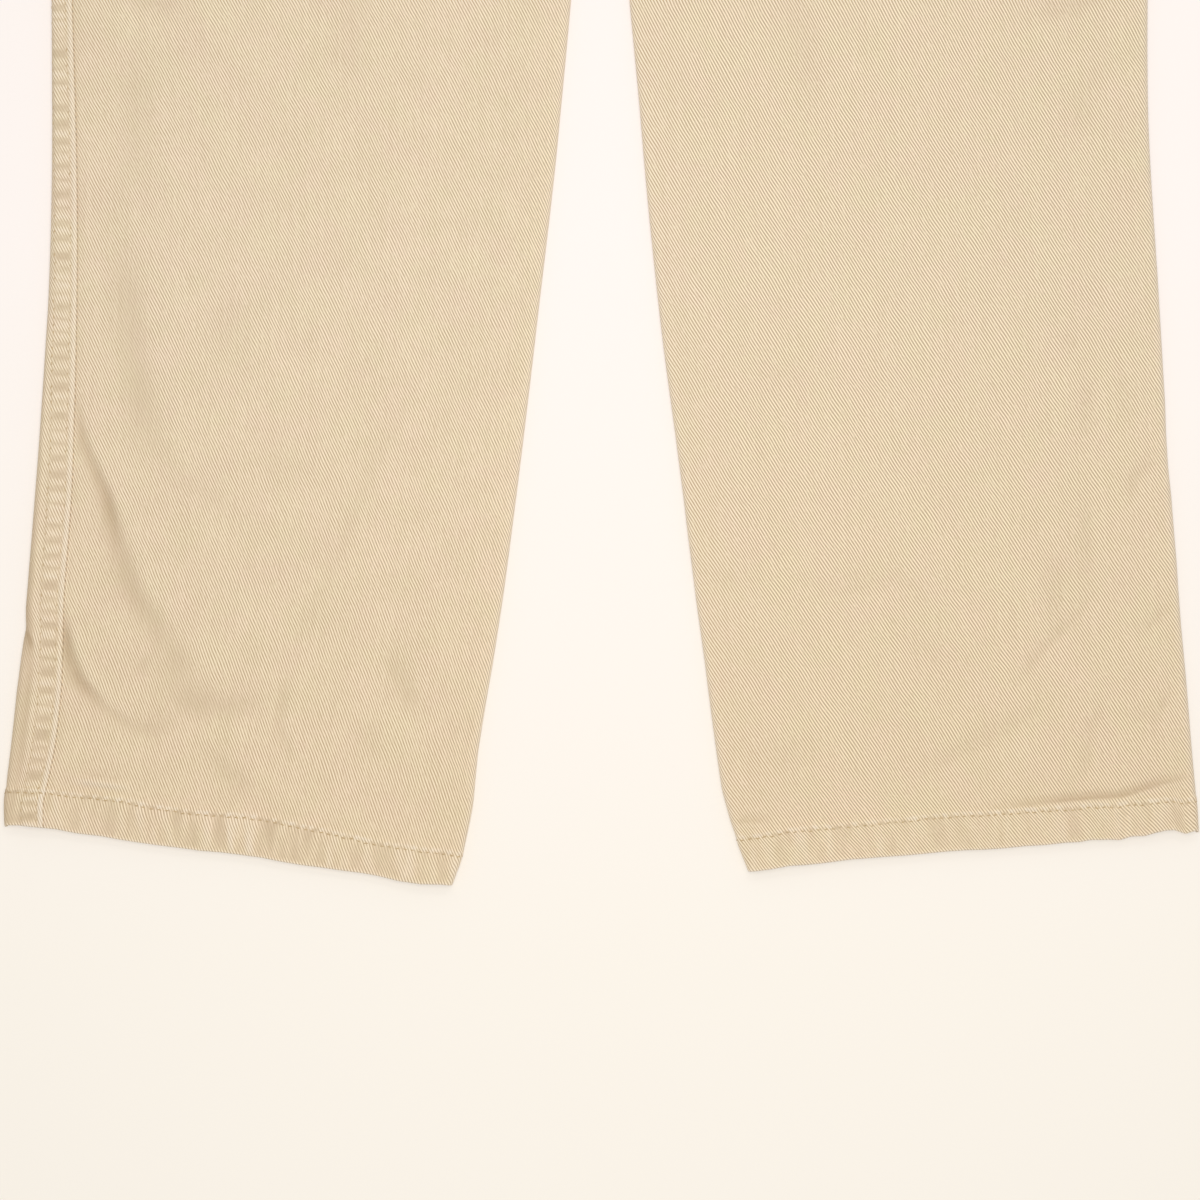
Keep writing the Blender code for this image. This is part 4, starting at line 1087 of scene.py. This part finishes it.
def addBackPocket(side, word):
    rows, columns = backPocket["steps"]

    def place(row, column):
        s, t = column / columns, row / rows
        x, up = pocketPoint(s, t)
        inside, below = pocketEdge(s, t)
        grooves = rowGrooves(inside, backPocket["rows"], 0.9) + rowGrooves(below, backPocket["mouthRows"], 0.9)
        edge = 1 - ease(np.minimum(inside, below) / 1.2)
        points = np.stack([side * x, up - laid["length"] / 2, 0.12 * grooves + 0.35 * edge], axis=-1) * mm
        # rubbed paler at the edges; painted shade in the stitch grooves
        return points, np.stack([-side * x, up], axis=-1) * mm, 0.7 * edge - 0.4 * grooves

    return layCloth("back_pocket_cloth_" + word, rows, columns, place, twill[side], backPocket["thickness"], side > 0)


# Waistband: one doubled strip from its underlap round the body to its buttoned end
band = {
    "raise": 0.6,
    "underlap": 20.0,
    "underlapDrop": 1.2,
    "overlap": 22.0,
    "overlapRise": 1.5,
    "lapStart": 25.0,
    "lapSlope": 28.0,
    "rows": (2.4, 37.0),  # stitches above the waist seam
    "edge": 1.1,
    "flat": (0.898, 0.04),
    "thickness": 2.2,
}
bandPuckers = puckerLine(31, 1000, 9.0, 2.8)


def bandFace(side, up, around):
    toMiddle = topLength(side, up) - around
    lapped = 1 - ease((toMiddle - band["lapStart"]) / band["lapSlope"])
    face = band["raise"] + lapped * (band["overlapRise"] if side > 0 else -band["underlapDrop"])
    outward = np.where(around < 0, 0.0, np.sin(np.clip(around / laid["roll"], 0, math.pi / 2)))
    return np.where(around < quarter, band["raise"] * outward, face)


def bandRelief(side, up, around):
    above = up - laid["waistSeam"]
    high = laid["waistTop"] - laid["waistSeam"]
    fromEdge = np.minimum(above, high - above)
    edge = band["edge"] - np.sqrt(band["edge"] ** 2 - np.clip(band["edge"] - fromEdge, 0, band["edge"]) ** 2)
    grooves = rowGrooves(above, band["rows"])
    puff = readLine(bandPuckers, around + 450 + 0.4 * (fromEdge - 6))
    puff = puff * ease(fromEdge / 3) * (1 - ease((fromEdge - 5) / 9))
    lift = bandFace(side, up, around) - 0.7 * edge - 0.25 * grooves
    facing = np.where(around > quarter, 1.0, 0.0)
    # rubbed paler at the edges; painted shade in the stitch grooves and painted light on the puckers' swells
    return lift + 0.16 * puff * facing, 0.7 * (1 - ease(fromEdge / 1.6)) - 0.4 * grooves + 0.25 * puff


def addWaistband():
    length = float(topLength(1, np.array(laid["waistSeam"])))
    lap = band["lapStart"] + band["lapSlope"]
    first = (length + band["underlap"], length, length - lap, quarter, -quarter, -length)
    second = (-length, -quarter, quarter, length - lap, length, length + band["overlap"])
    counts = (6, 16, 50, 8, 66)
    ups = laid["waistSeam"] + np.array([0.15, 0.5, 1.1, 1.7, 2.4, 3.1, 4.5, 7, 12, 20, 28, 33, 35.2, 36.3, 37, 37.7,
                                        38.4, 39, 39.6, 40.0])
    middle = sum(counts)

    def place(row, column):
        up = np.interp(row, np.arange(len(ups)), ups)
        left = column <= middle
        leftWay = alongBreaks(np.minimum(column, middle), first, counts)
        rightWay = alongBreaks(np.maximum(column - middle, 0), second, counts[::-1])
        around = np.where(left, leftWay, rightWay) / length
        points = np.zeros((len(row), 3))
        wearAndLight = np.zeros(len(row))
        for side, mine in ((-1, left), (1, ~left)):
            way = around[mine] * topLength(side, up[mine])
            lift, rubbedAndLit = bandRelief(side, up[mine], way)
            points[mine] = form(side, up[mine], way, lift)
            wearAndLight[mine] = rubbedAndLit
        run = np.where(left, around, -around) * length
        return points, np.stack([run, up], axis=-1) * mm, wearAndLight

    return layCloth("waistband_cloth", len(ups) - 1, 2 * middle, place, bandTwill, band["thickness"], True)


# Fly placket with its J-shaped foot, lapped a little past the middle line
fly = {
    "width": 40.0,
    "length": 155.0,
    "straight": 0.62,
    "foot": 3.0,
    "lap": 4.0,
    "lift": 1.15,
    "rows": (2.6, 8.8),
    "flat": (0.044, 0.155),
    "area": 0.0062,
    "thickness": 0.8,
}


def flyReach(share):  # width of the placket at a share of its length from the waist
    turn = np.maximum((share - fly["straight"]) / (1 - fly["straight"]), 0)
    return fly["width"] * np.sqrt(np.maximum(1 - turn**2, 0)) + fly["foot"] * turn


def flyLift(share, x):  # softly down to the front panel along the J
    off = np.minimum((flyReach(share) - x), (1 - share) * fly["length"] + 1)
    lip = fly["lift"] * (0.45 + 0.55 * ease(off / 9)) - 0.25 * (1 - ease(off / 0.9))
    grooves = rowGrooves(off, fly["rows"])
    lapEdge = 1 - ease((x + fly["lap"]) / 1.0)
    # rubbed paler at the edges; painted shade in the stitch grooves
    return lip - 0.22 * grooves - 0.3 * lapEdge, 0.5 * (1 - ease(off / 1.4)) - 0.4 * grooves + 0.5 * lapEdge


def addFly():
    straightRows, turnRows, columns = 34, 40, 34

    def place(row, column):
        bent = np.clip((row - straightRows) / turnRows, 0, 1)
        share = np.where(row <= straightRows, fly["straight"] * row / straightRows,
                         fly["straight"] + (1 - fly["straight"]) * np.sin(bent * math.pi / 2))
        up = laid["waistSeam"] - laid["seamGap"] / 2 - fly["length"] * share
        x = -fly["lap"] + (flyReach(share) + fly["lap"]) * column / columns
        around = topLength(1, up) - x
        lift, wearAndLight = flyLift(share, x)
        return form(1, up, around, lift), grainOf(1, up, around), wearAndLight

    return layCloth("fly_cloth", straightRows + turnRows, columns, place, twill[1], fly["thickness"], True)


# Belt loops: folded strips, two rows of stitches and a bar tack at each end
loop = {
    "width": 11.0,
    "cloth": 1.1,
    "tail": 8.0,
    "front": 98.0,
    "back": 128.0,
    "flat": (0.011, 0.048),
    "rows": 3.4,
    "tack": 4.4,  # half the width of a bar tack
    "steps": (40, 12),
}
loopLow = laid["waistSeam"] - loop["tail"]
loopHigh = laid["waistTop"]


def loopEdge(across):
    return 1 - ease((0.5 - np.abs(across)) * loop["width"] / 0.9)


def loopLift(up):  # over the waistband's lower edge, bulging in the middle and pressed down at both ends
    over = laid["seamGap"] + band["raise"] * ease((up - laid["waistSeam"] + 1) / 2) + loop["cloth"]
    bulge = 0.5 * ease((up - loopLow - 4) / 8) * ease((loopHigh - 4 - up) / 8)
    ends = (1 - ease((up - loopLow) / 3)) + (1 - ease((loopHigh - up) / 3))
    return over + bulge - 0.3 * ends


def addFrontLoop(side, name):
    rows, columns = loop["steps"]

    def place(row, column):
        up = loopLow + (loopHigh - loopLow) * row / rows
        across = column / columns - 0.5
        around = topLength(side, up) - loop["front"] + loop["width"] * across
        grooves = dip((np.abs(across) * loop["width"] - loop["rows"]), 0.7)
        lift = loopLift(up) - 0.35 * loopEdge(across) - 0.18 * grooves
        grain = np.stack([-side * around, up], axis=-1) * mm
        # rubbed paler at the edges; painted shade in the stitch grooves
        return form(side, up, around, lift), grain, 0.8 * loopEdge(across) - 0.35 * grooves

    return layCloth(name, rows, columns, place, bandTwill, loop["cloth"] - 0.1, side > 0)


def backLoopSpan(x):  # both ends of a loop at the back, where the waist rises towards the middle
    seam = np.array(laid["waistSeam"])
    centre, width = (readTable(upperCuts, seam, sectionColumns[name]) for name in ("centre", "width"))
    rise = laid["backRise"] * (1 - (x / float(centre + width / 2)) ** 2)
    return loopLow + rise, loopHigh + rise - laid["seamGap"]


def addBackLoop(x, name):
    low, high = backLoopSpan(x)
    rows, columns = loop["steps"]

    def place(row, column):
        up = low + (high - low) * row / rows
        across = column / columns - 0.5
        grooves = dip((np.abs(across) * loop["width"] - loop["rows"]), 0.7)
        height = 0.3 * loopEdge(across) + 0.12 * grooves
        points = np.stack([x - loop["width"] * across, up - laid["length"] / 2, height], axis=-1) * mm
        # rubbed paler at the edges; painted shade in the stitch grooves
        return points, np.stack([loop["width"] * across, up], axis=-1) * mm, 0.8 * loopEdge(across) - 0.35 * grooves

    return layCloth(name, rows, columns, place, bandTwill, 0.9)


# Waist button: a turned cap with a rolled rim and a beaded ring
button = {"radius": 8.5, "height": 3.0, "place": 8.0}
buttonProfile = [(0.70, 0.0), (0.93, 0.06), (0.99, 0.22), (1.0, 0.46), (0.985, 0.74), (0.94, 0.93), (0.885, 1.0),
                 (0.83, 0.95), (0.79, 0.80), (0.74, 0.72), (0.66, 0.74), (0.60, 0.82), (0.55, 0.84), (0.50, 0.79),
                 (0.40, 0.80), (0.25, 0.86), (0.10, 0.89), (0.0, 0.895)]


def addButton():
    up = laid["waistSeam"] + 20
    onto = band["raise"] + band["overlapRise"] + laid["seamGap"] - 0.15
    centre = Vector(form(1, up, topLength(1, np.array(up, float)) + button["place"], onto))
    bm = bmesh.new()
    ring = [bm.verts.new((r * button["radius"] * mm, 0, h * button["height"] * mm)) for r, h in buttonProfile]
    edges = [bm.edges.new(pair) for pair in zip(ring, ring[1:])]
    bmesh.ops.spin(bm, geom=ring + edges, axis=(0, 0, 1), cent=(0, 0, 0), angle=math.tau, steps=64, use_merge=True)
    bmesh.ops.remove_doubles(bm, verts=bm.verts, dist=1e-6)
    bmesh.ops.holes_fill(bm, edges=[edge for edge in bm.edges if edge.is_boundary], sides=0)
    bmesh.ops.recalc_face_normals(bm, faces=bm.faces)
    rims = [vert.co.z for vert in bm.verts]
    wearAndLight = [0.55 * float(ease((z / (button["height"] * mm) - 0.8) / 0.2)) for z in rims]
    bmesh.ops.translate(bm, verts=bm.verts, vec=centre)
    grain = [vert.co.xy for vert in bm.verts]
    return finishCloth("waist_button", bm, np.array([tuple(pair) for pair in grain]), wearAndLight, brass, 0)


yokes = {side: addYoke(side, word) for side, word in sides}
facings = {side: addFacing(side, word) for side, word in sides}
patches = {side: addBackPocket(side, word) for side, word in sides}
waistband = addWaistband()
flyPlacket = addFly()
loops = [addFrontLoop(-1, "belt_loop_cloth_1"), addFrontLoop(1, "belt_loop_cloth_2")]
loops += [addBackLoop(x, "belt_loop_cloth_" + str(n)) for n, x in ((3, -loop["back"]), (4, 0.0), (5, loop["back"]))]
waistButton = addButton()
print("body pieces laid")


# Stitches: short padded strokes of thread, each sunk a little at its ends
stitchLook = {"pitch": 3.4, "length": 1.9, "width": 0.6, "height": 0.4, "sunk": 0.06, "swing": 11.0, "stray": 0.2}
stitchDice = np.random.default_rng(41)


def stitchShape():
    bm = bmesh.new()
    bmesh.ops.create_uvsphere(bm, u_segments=6, v_segments=4, radius=0.5)
    bmesh.ops.rotate(bm, verts=bm.verts, cent=(0, 0, 0), matrix=Matrix.Rotation(math.pi / 2, 3, "Y"))
    return meshFrom(bm, "stitch")


def sewLine(points, lifted, pitch=None, length=None, width=None, turned=0.0):
    # places for the stitches along a line of points, with a second line above it for the way up
    pitch = pitch or stitchLook["pitch"]
    size = ((length or stitchLook["length"]) * mm, (width or stitchLook["width"]) * mm, stitchLook["height"] * mm)
    steps = np.linalg.norm(np.diff(points, axis=0), axis=1)
    way = np.append(0, np.cumsum(steps))
    count = int(way[-1] / mm / pitch)
    places = []

    def onLine(line, place):
        return np.array([np.interp(place, way, line[:, k]) for k in range(3)])

    for n in range(count):
        middle = (n + 0.5 + stitchDice.uniform(-0.07, 0.07)) * way[-1] / count
        at = onLine(points, middle)
        along = Vector(onLine(points, middle + 0.4 * mm) - onLine(points, middle - 0.4 * mm)).normalized()
        out = Vector(onLine(lifted, middle) - at).normalized()
        across = out.cross(along).normalized()
        swing = turned + math.radians(stitchLook["swing"]) * (1 if n % 2 else -1)
        along, across = (along * math.cos(swing) + across * math.sin(swing),
                         across * math.cos(swing) - along * math.sin(swing))
        turn = Matrix((along * size[0], across * size[1], out * size[2])).transposed()
        stray = np.array(across) * stitchDice.normal(0, stitchLook["stray"]) * mm
        sunk = np.array(out) * stitchLook["sunk"] * stitchDice.uniform(0.3, 2.4) * mm
        places.append(Matrix.Translation(at + stray - sunk) @ turn.to_4x4())
    return places


def sewOn(side, ups, ways, relief, lift=0.0, **settings):
    ups, ways = (np.array(part, float) for part in np.broadcast_arrays(ups, ways))
    base = (relief(side, ups, ways)[0] if relief else 0.0) + lift
    return sewLine(form(side, ups, ways, base), form(side, ups, ways, base + 1.0), **settings)


def sewFlat(x, up, height, **settings):  # underneath, on a piece that lies on the surface
    flat = np.stack([x, up - laid["length"] / 2, np.full(len(x), height)], axis=-1) * mm
    return sewLine(flat, flat - np.array([0, 0, 1.0]) * mm, **settings)


def closeStitches(length, width=0.75):  # a bar tack or a buttonhole: stitches side by side across the line
    return {"pitch": 0.8, "length": length, "width": width, "turned": math.pi / 2}


def addStitches(name, places):
    shape = stitchShape()
    bm = bmesh.new()
    for _ in places:
        bm.from_mesh(shape)
    each = len(shape.vertices)
    for number, vert in enumerate(bm.verts):
        vert.co = places[number // each] @ vert.co
    bpy.data.meshes.remove(shape)
    mesh = meshFrom(bm, name)
    mesh.shade_smooth()
    mesh.materials.append(thread)
    piece = addObject(name, mesh)
    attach(piece, "root")
    return piece


sewAt = np.array(30.0)  # height at which the ways round a hem are read


def frontSewing(side):
    ways = np.linspace(float(seamWay(side, sewAt)) + 0.5, float(topLength(side, sewAt)) + 4, 260)
    places = sewOn(side, hemUp[side] + hemSew(side, ways), ways, frontRelief, 0.1)
    for off in pocket["rows"]:
        turns = np.radians(np.linspace(5 if off < 5 else 8, 89.5, 120))
        ups = laid["waistSeam"] - (pocket["drop"] + off) * np.cos(turns)
        places += sewOn(side, ups, (pocket["reach"] + off) * np.sin(turns), frontRelief, 0.12)
    if side > 0:  # below the fly the two fronts are felled towards the right
        ups = np.linspace(790, 846, 30)
        for off in laid["centreRows"]:
            places += sewOn(side, ups, topLength(side, ups) - off, frontRelief, 0.12)
        ups = np.linspace(845, 852, 12)
        places += sewOn(side, ups, topLength(side, ups) - 4.0, frontRelief, 1.0, **closeStitches(2.6))
    for share in (0.16, 0.985):  # bar tacks at the ends of the pocket opening
        turn = share * math.pi / 2
        reach = np.linspace(2, 9, 12)
        ups = laid["waistSeam"] - (pocket["drop"] + reach) * math.cos(turn)
        ways = (pocket["reach"] + reach) * math.sin(turn)
        places += sewOn(side, ups, ways, frontRelief, 0.2, **closeStitches(2.4))
    return places


def backSewing(side):
    seam = float(seamWay(side, sewAt))
    ways = np.linspace(seam - 0.6, float(inseamWay(side, sewAt)) - float(topLength(side, sewAt)), 260)
    places = sewOn(side, hemUp[side] + hemSew(side, ways), ways, backRelief, np.where(ways > 0, 0.1, -0.05))
    ups = np.linspace(hemUp[side] + 1.5, 955, 700)
    for off in (fellLook["rowIn"], fellLook["rowOut"]):
        places += sewOn(side, ups, seamWay(side, ups) - off, backRelief, -0.02, width=0.5)
    if side < 0:
        ups = np.linspace(792, 925, 60)
        for off in laid["centreRows"]:
            places += sewOn(side, ups, off - topLength(side, ups), backRelief, -0.05)
    return places


def yokeSewing(side):
    places = []
    ways = np.linspace(-0.5, -float(topLength(side, np.array(950.0))) + 0.5, 120)
    for off in yoke["rows"]:
        ups = yokeSeam(side, np.full(len(ways), 950.0), ways) + off
        places += sewOn(side, ups, ways, yokeRelief, -0.05)
    return places


def patchSewing(side):
    places = []

    def lay(s, t):
        x, up = pocketPoint(s, t)
        return sewFlat(side * x, up, 0.1)

    for off in backPocket["rows"]:
        inset = off / 145
        up = np.linspace(0.999, off / 150, 60)
        across = np.linspace(inset, 1 - inset, 80)
        places += lay(np.full(60, inset), up)
        places += lay(across, np.full(80, off / 150))
        places += lay(np.full(60, 1 - inset), up[::-1])
    for off in backPocket["mouthRows"]:
        across = np.linspace(0.01, 0.99, 60)
        places += lay(across, np.full(60, 1 - off / 150))
    return places


def bandSewing():
    places = []
    for off in band["rows"]:
        up = laid["waistSeam"] + off
        length = float(topLength(1, np.array(up)))
        for side, past in ((-1, 0.0), (1, band["overlap"] - 2.5)):
            ways = np.linspace(-length, length + past, 420)
            places += sewOn(side, np.full(420, up), ways, bandRelief, 0.1)
    ups = np.linspace(laid["waistSeam"] + 3, laid["waistSeam"] + 37, 30)
    places += sewOn(1, ups, topLength(1, ups) + band["overlap"] - 2.5, bandRelief, 0.1)
    # buttonhole: close stitches on both sides of its slit
    for off in (-1.3, 1.3):
        x = np.linspace(-9, 10, 40)
        up = laid["waistSeam"] + 20 + off
        ups = np.full(40, up)
        places += sewOn(1, ups, topLength(1, ups) - x, bandRelief, 0.12, **closeStitches(1.9, 0.7))
    return places


def flySewing():
    places = []
    for off in fly["rows"]:
        bend = (1 - fly["straight"]) * np.sin(np.linspace(0.02, 1, 60) * math.pi / 2) * (1 - off / 60)
        share = np.append(np.linspace(0.01, fly["straight"], 40), fly["straight"] + bend)
        x = flyReach(share) - off
        keep = x > -fly["lap"] + 1
        share, x = share[keep], x[keep]
        up = laid["waistSeam"] - fly["length"] * share
        lift = flyLift(share, x)[0] + 0.12
        places += sewLine(form(1, up, topLength(1, up) - x, lift), form(1, up, topLength(1, up) - x, lift + 1))
    return places


def loopSewing(number):
    places = []
    tack = closeStitches(2.3)
    tackWay = np.linspace(-loop["tack"], loop["tack"], 12)
    if number < 3:
        side = -1 if number == 1 else 1

        def lay(ups, ways, lift, **settings):
            ways = topLength(side, ups) - loop["front"] + ways
            on = loopLift(ups)
            return sewLine(form(side, ups, ways, on + lift), form(side, ups, ways, on + 1), **settings)

        for off in (-loop["rows"], loop["rows"]):
            places += lay(np.linspace(loopLow + 1, loopHigh - 1, 40), off, -0.1)
        for up in (loopLow + 1.6, loopHigh - 1.8):
            places += lay(np.full(12, up), tackWay, 0.05, **tack)
    else:
        x = (number - 4) * loop["back"]
        low, high = backLoopSpan(x)
        for off in (-loop["rows"], loop["rows"]):
            places += sewFlat(np.full(40, x + off), np.linspace(low + 1, high - 1, 40), 0.1)
        for up in (low + 1.6, high - 1.8):
            places += sewFlat(x + tackWay, np.full(12, up), 0.12, **tack)
    return places


for side, word in sides:
    sewn = addStitches("front_stitches_" + word, frontSewing(side))
    cover(fronts[side], "front_" + word)
    sewn = addStitches("back_stitches_" + word, backSewing(side))
    cover(backs[side], "back_" + word)
    sewn = addStitches("yoke_stitches_" + word, yokeSewing(side))
    cover(yokes[side], "yoke_" + word)
    cover(facings[side], "pocket_facing_" + word)
    sewn = addStitches("back_pocket_stitches_" + word, patchSewing(side))
    cover(patches[side], "back_pocket_" + word)
sewn = addStitches("waistband_stitches", bandSewing())
cover(waistband, "waistband")
sewn = addStitches("fly_stitches", flySewing())
cover(flyPlacket, "fly")
for number, piece in enumerate(loops, 1):
    sewn = addStitches("belt_loop_stitches_" + str(number), loopSewing(number))
    cover(piece, "belt_loop_" + str(number))
cover(waistButton, "button")
print("stitches sewn")
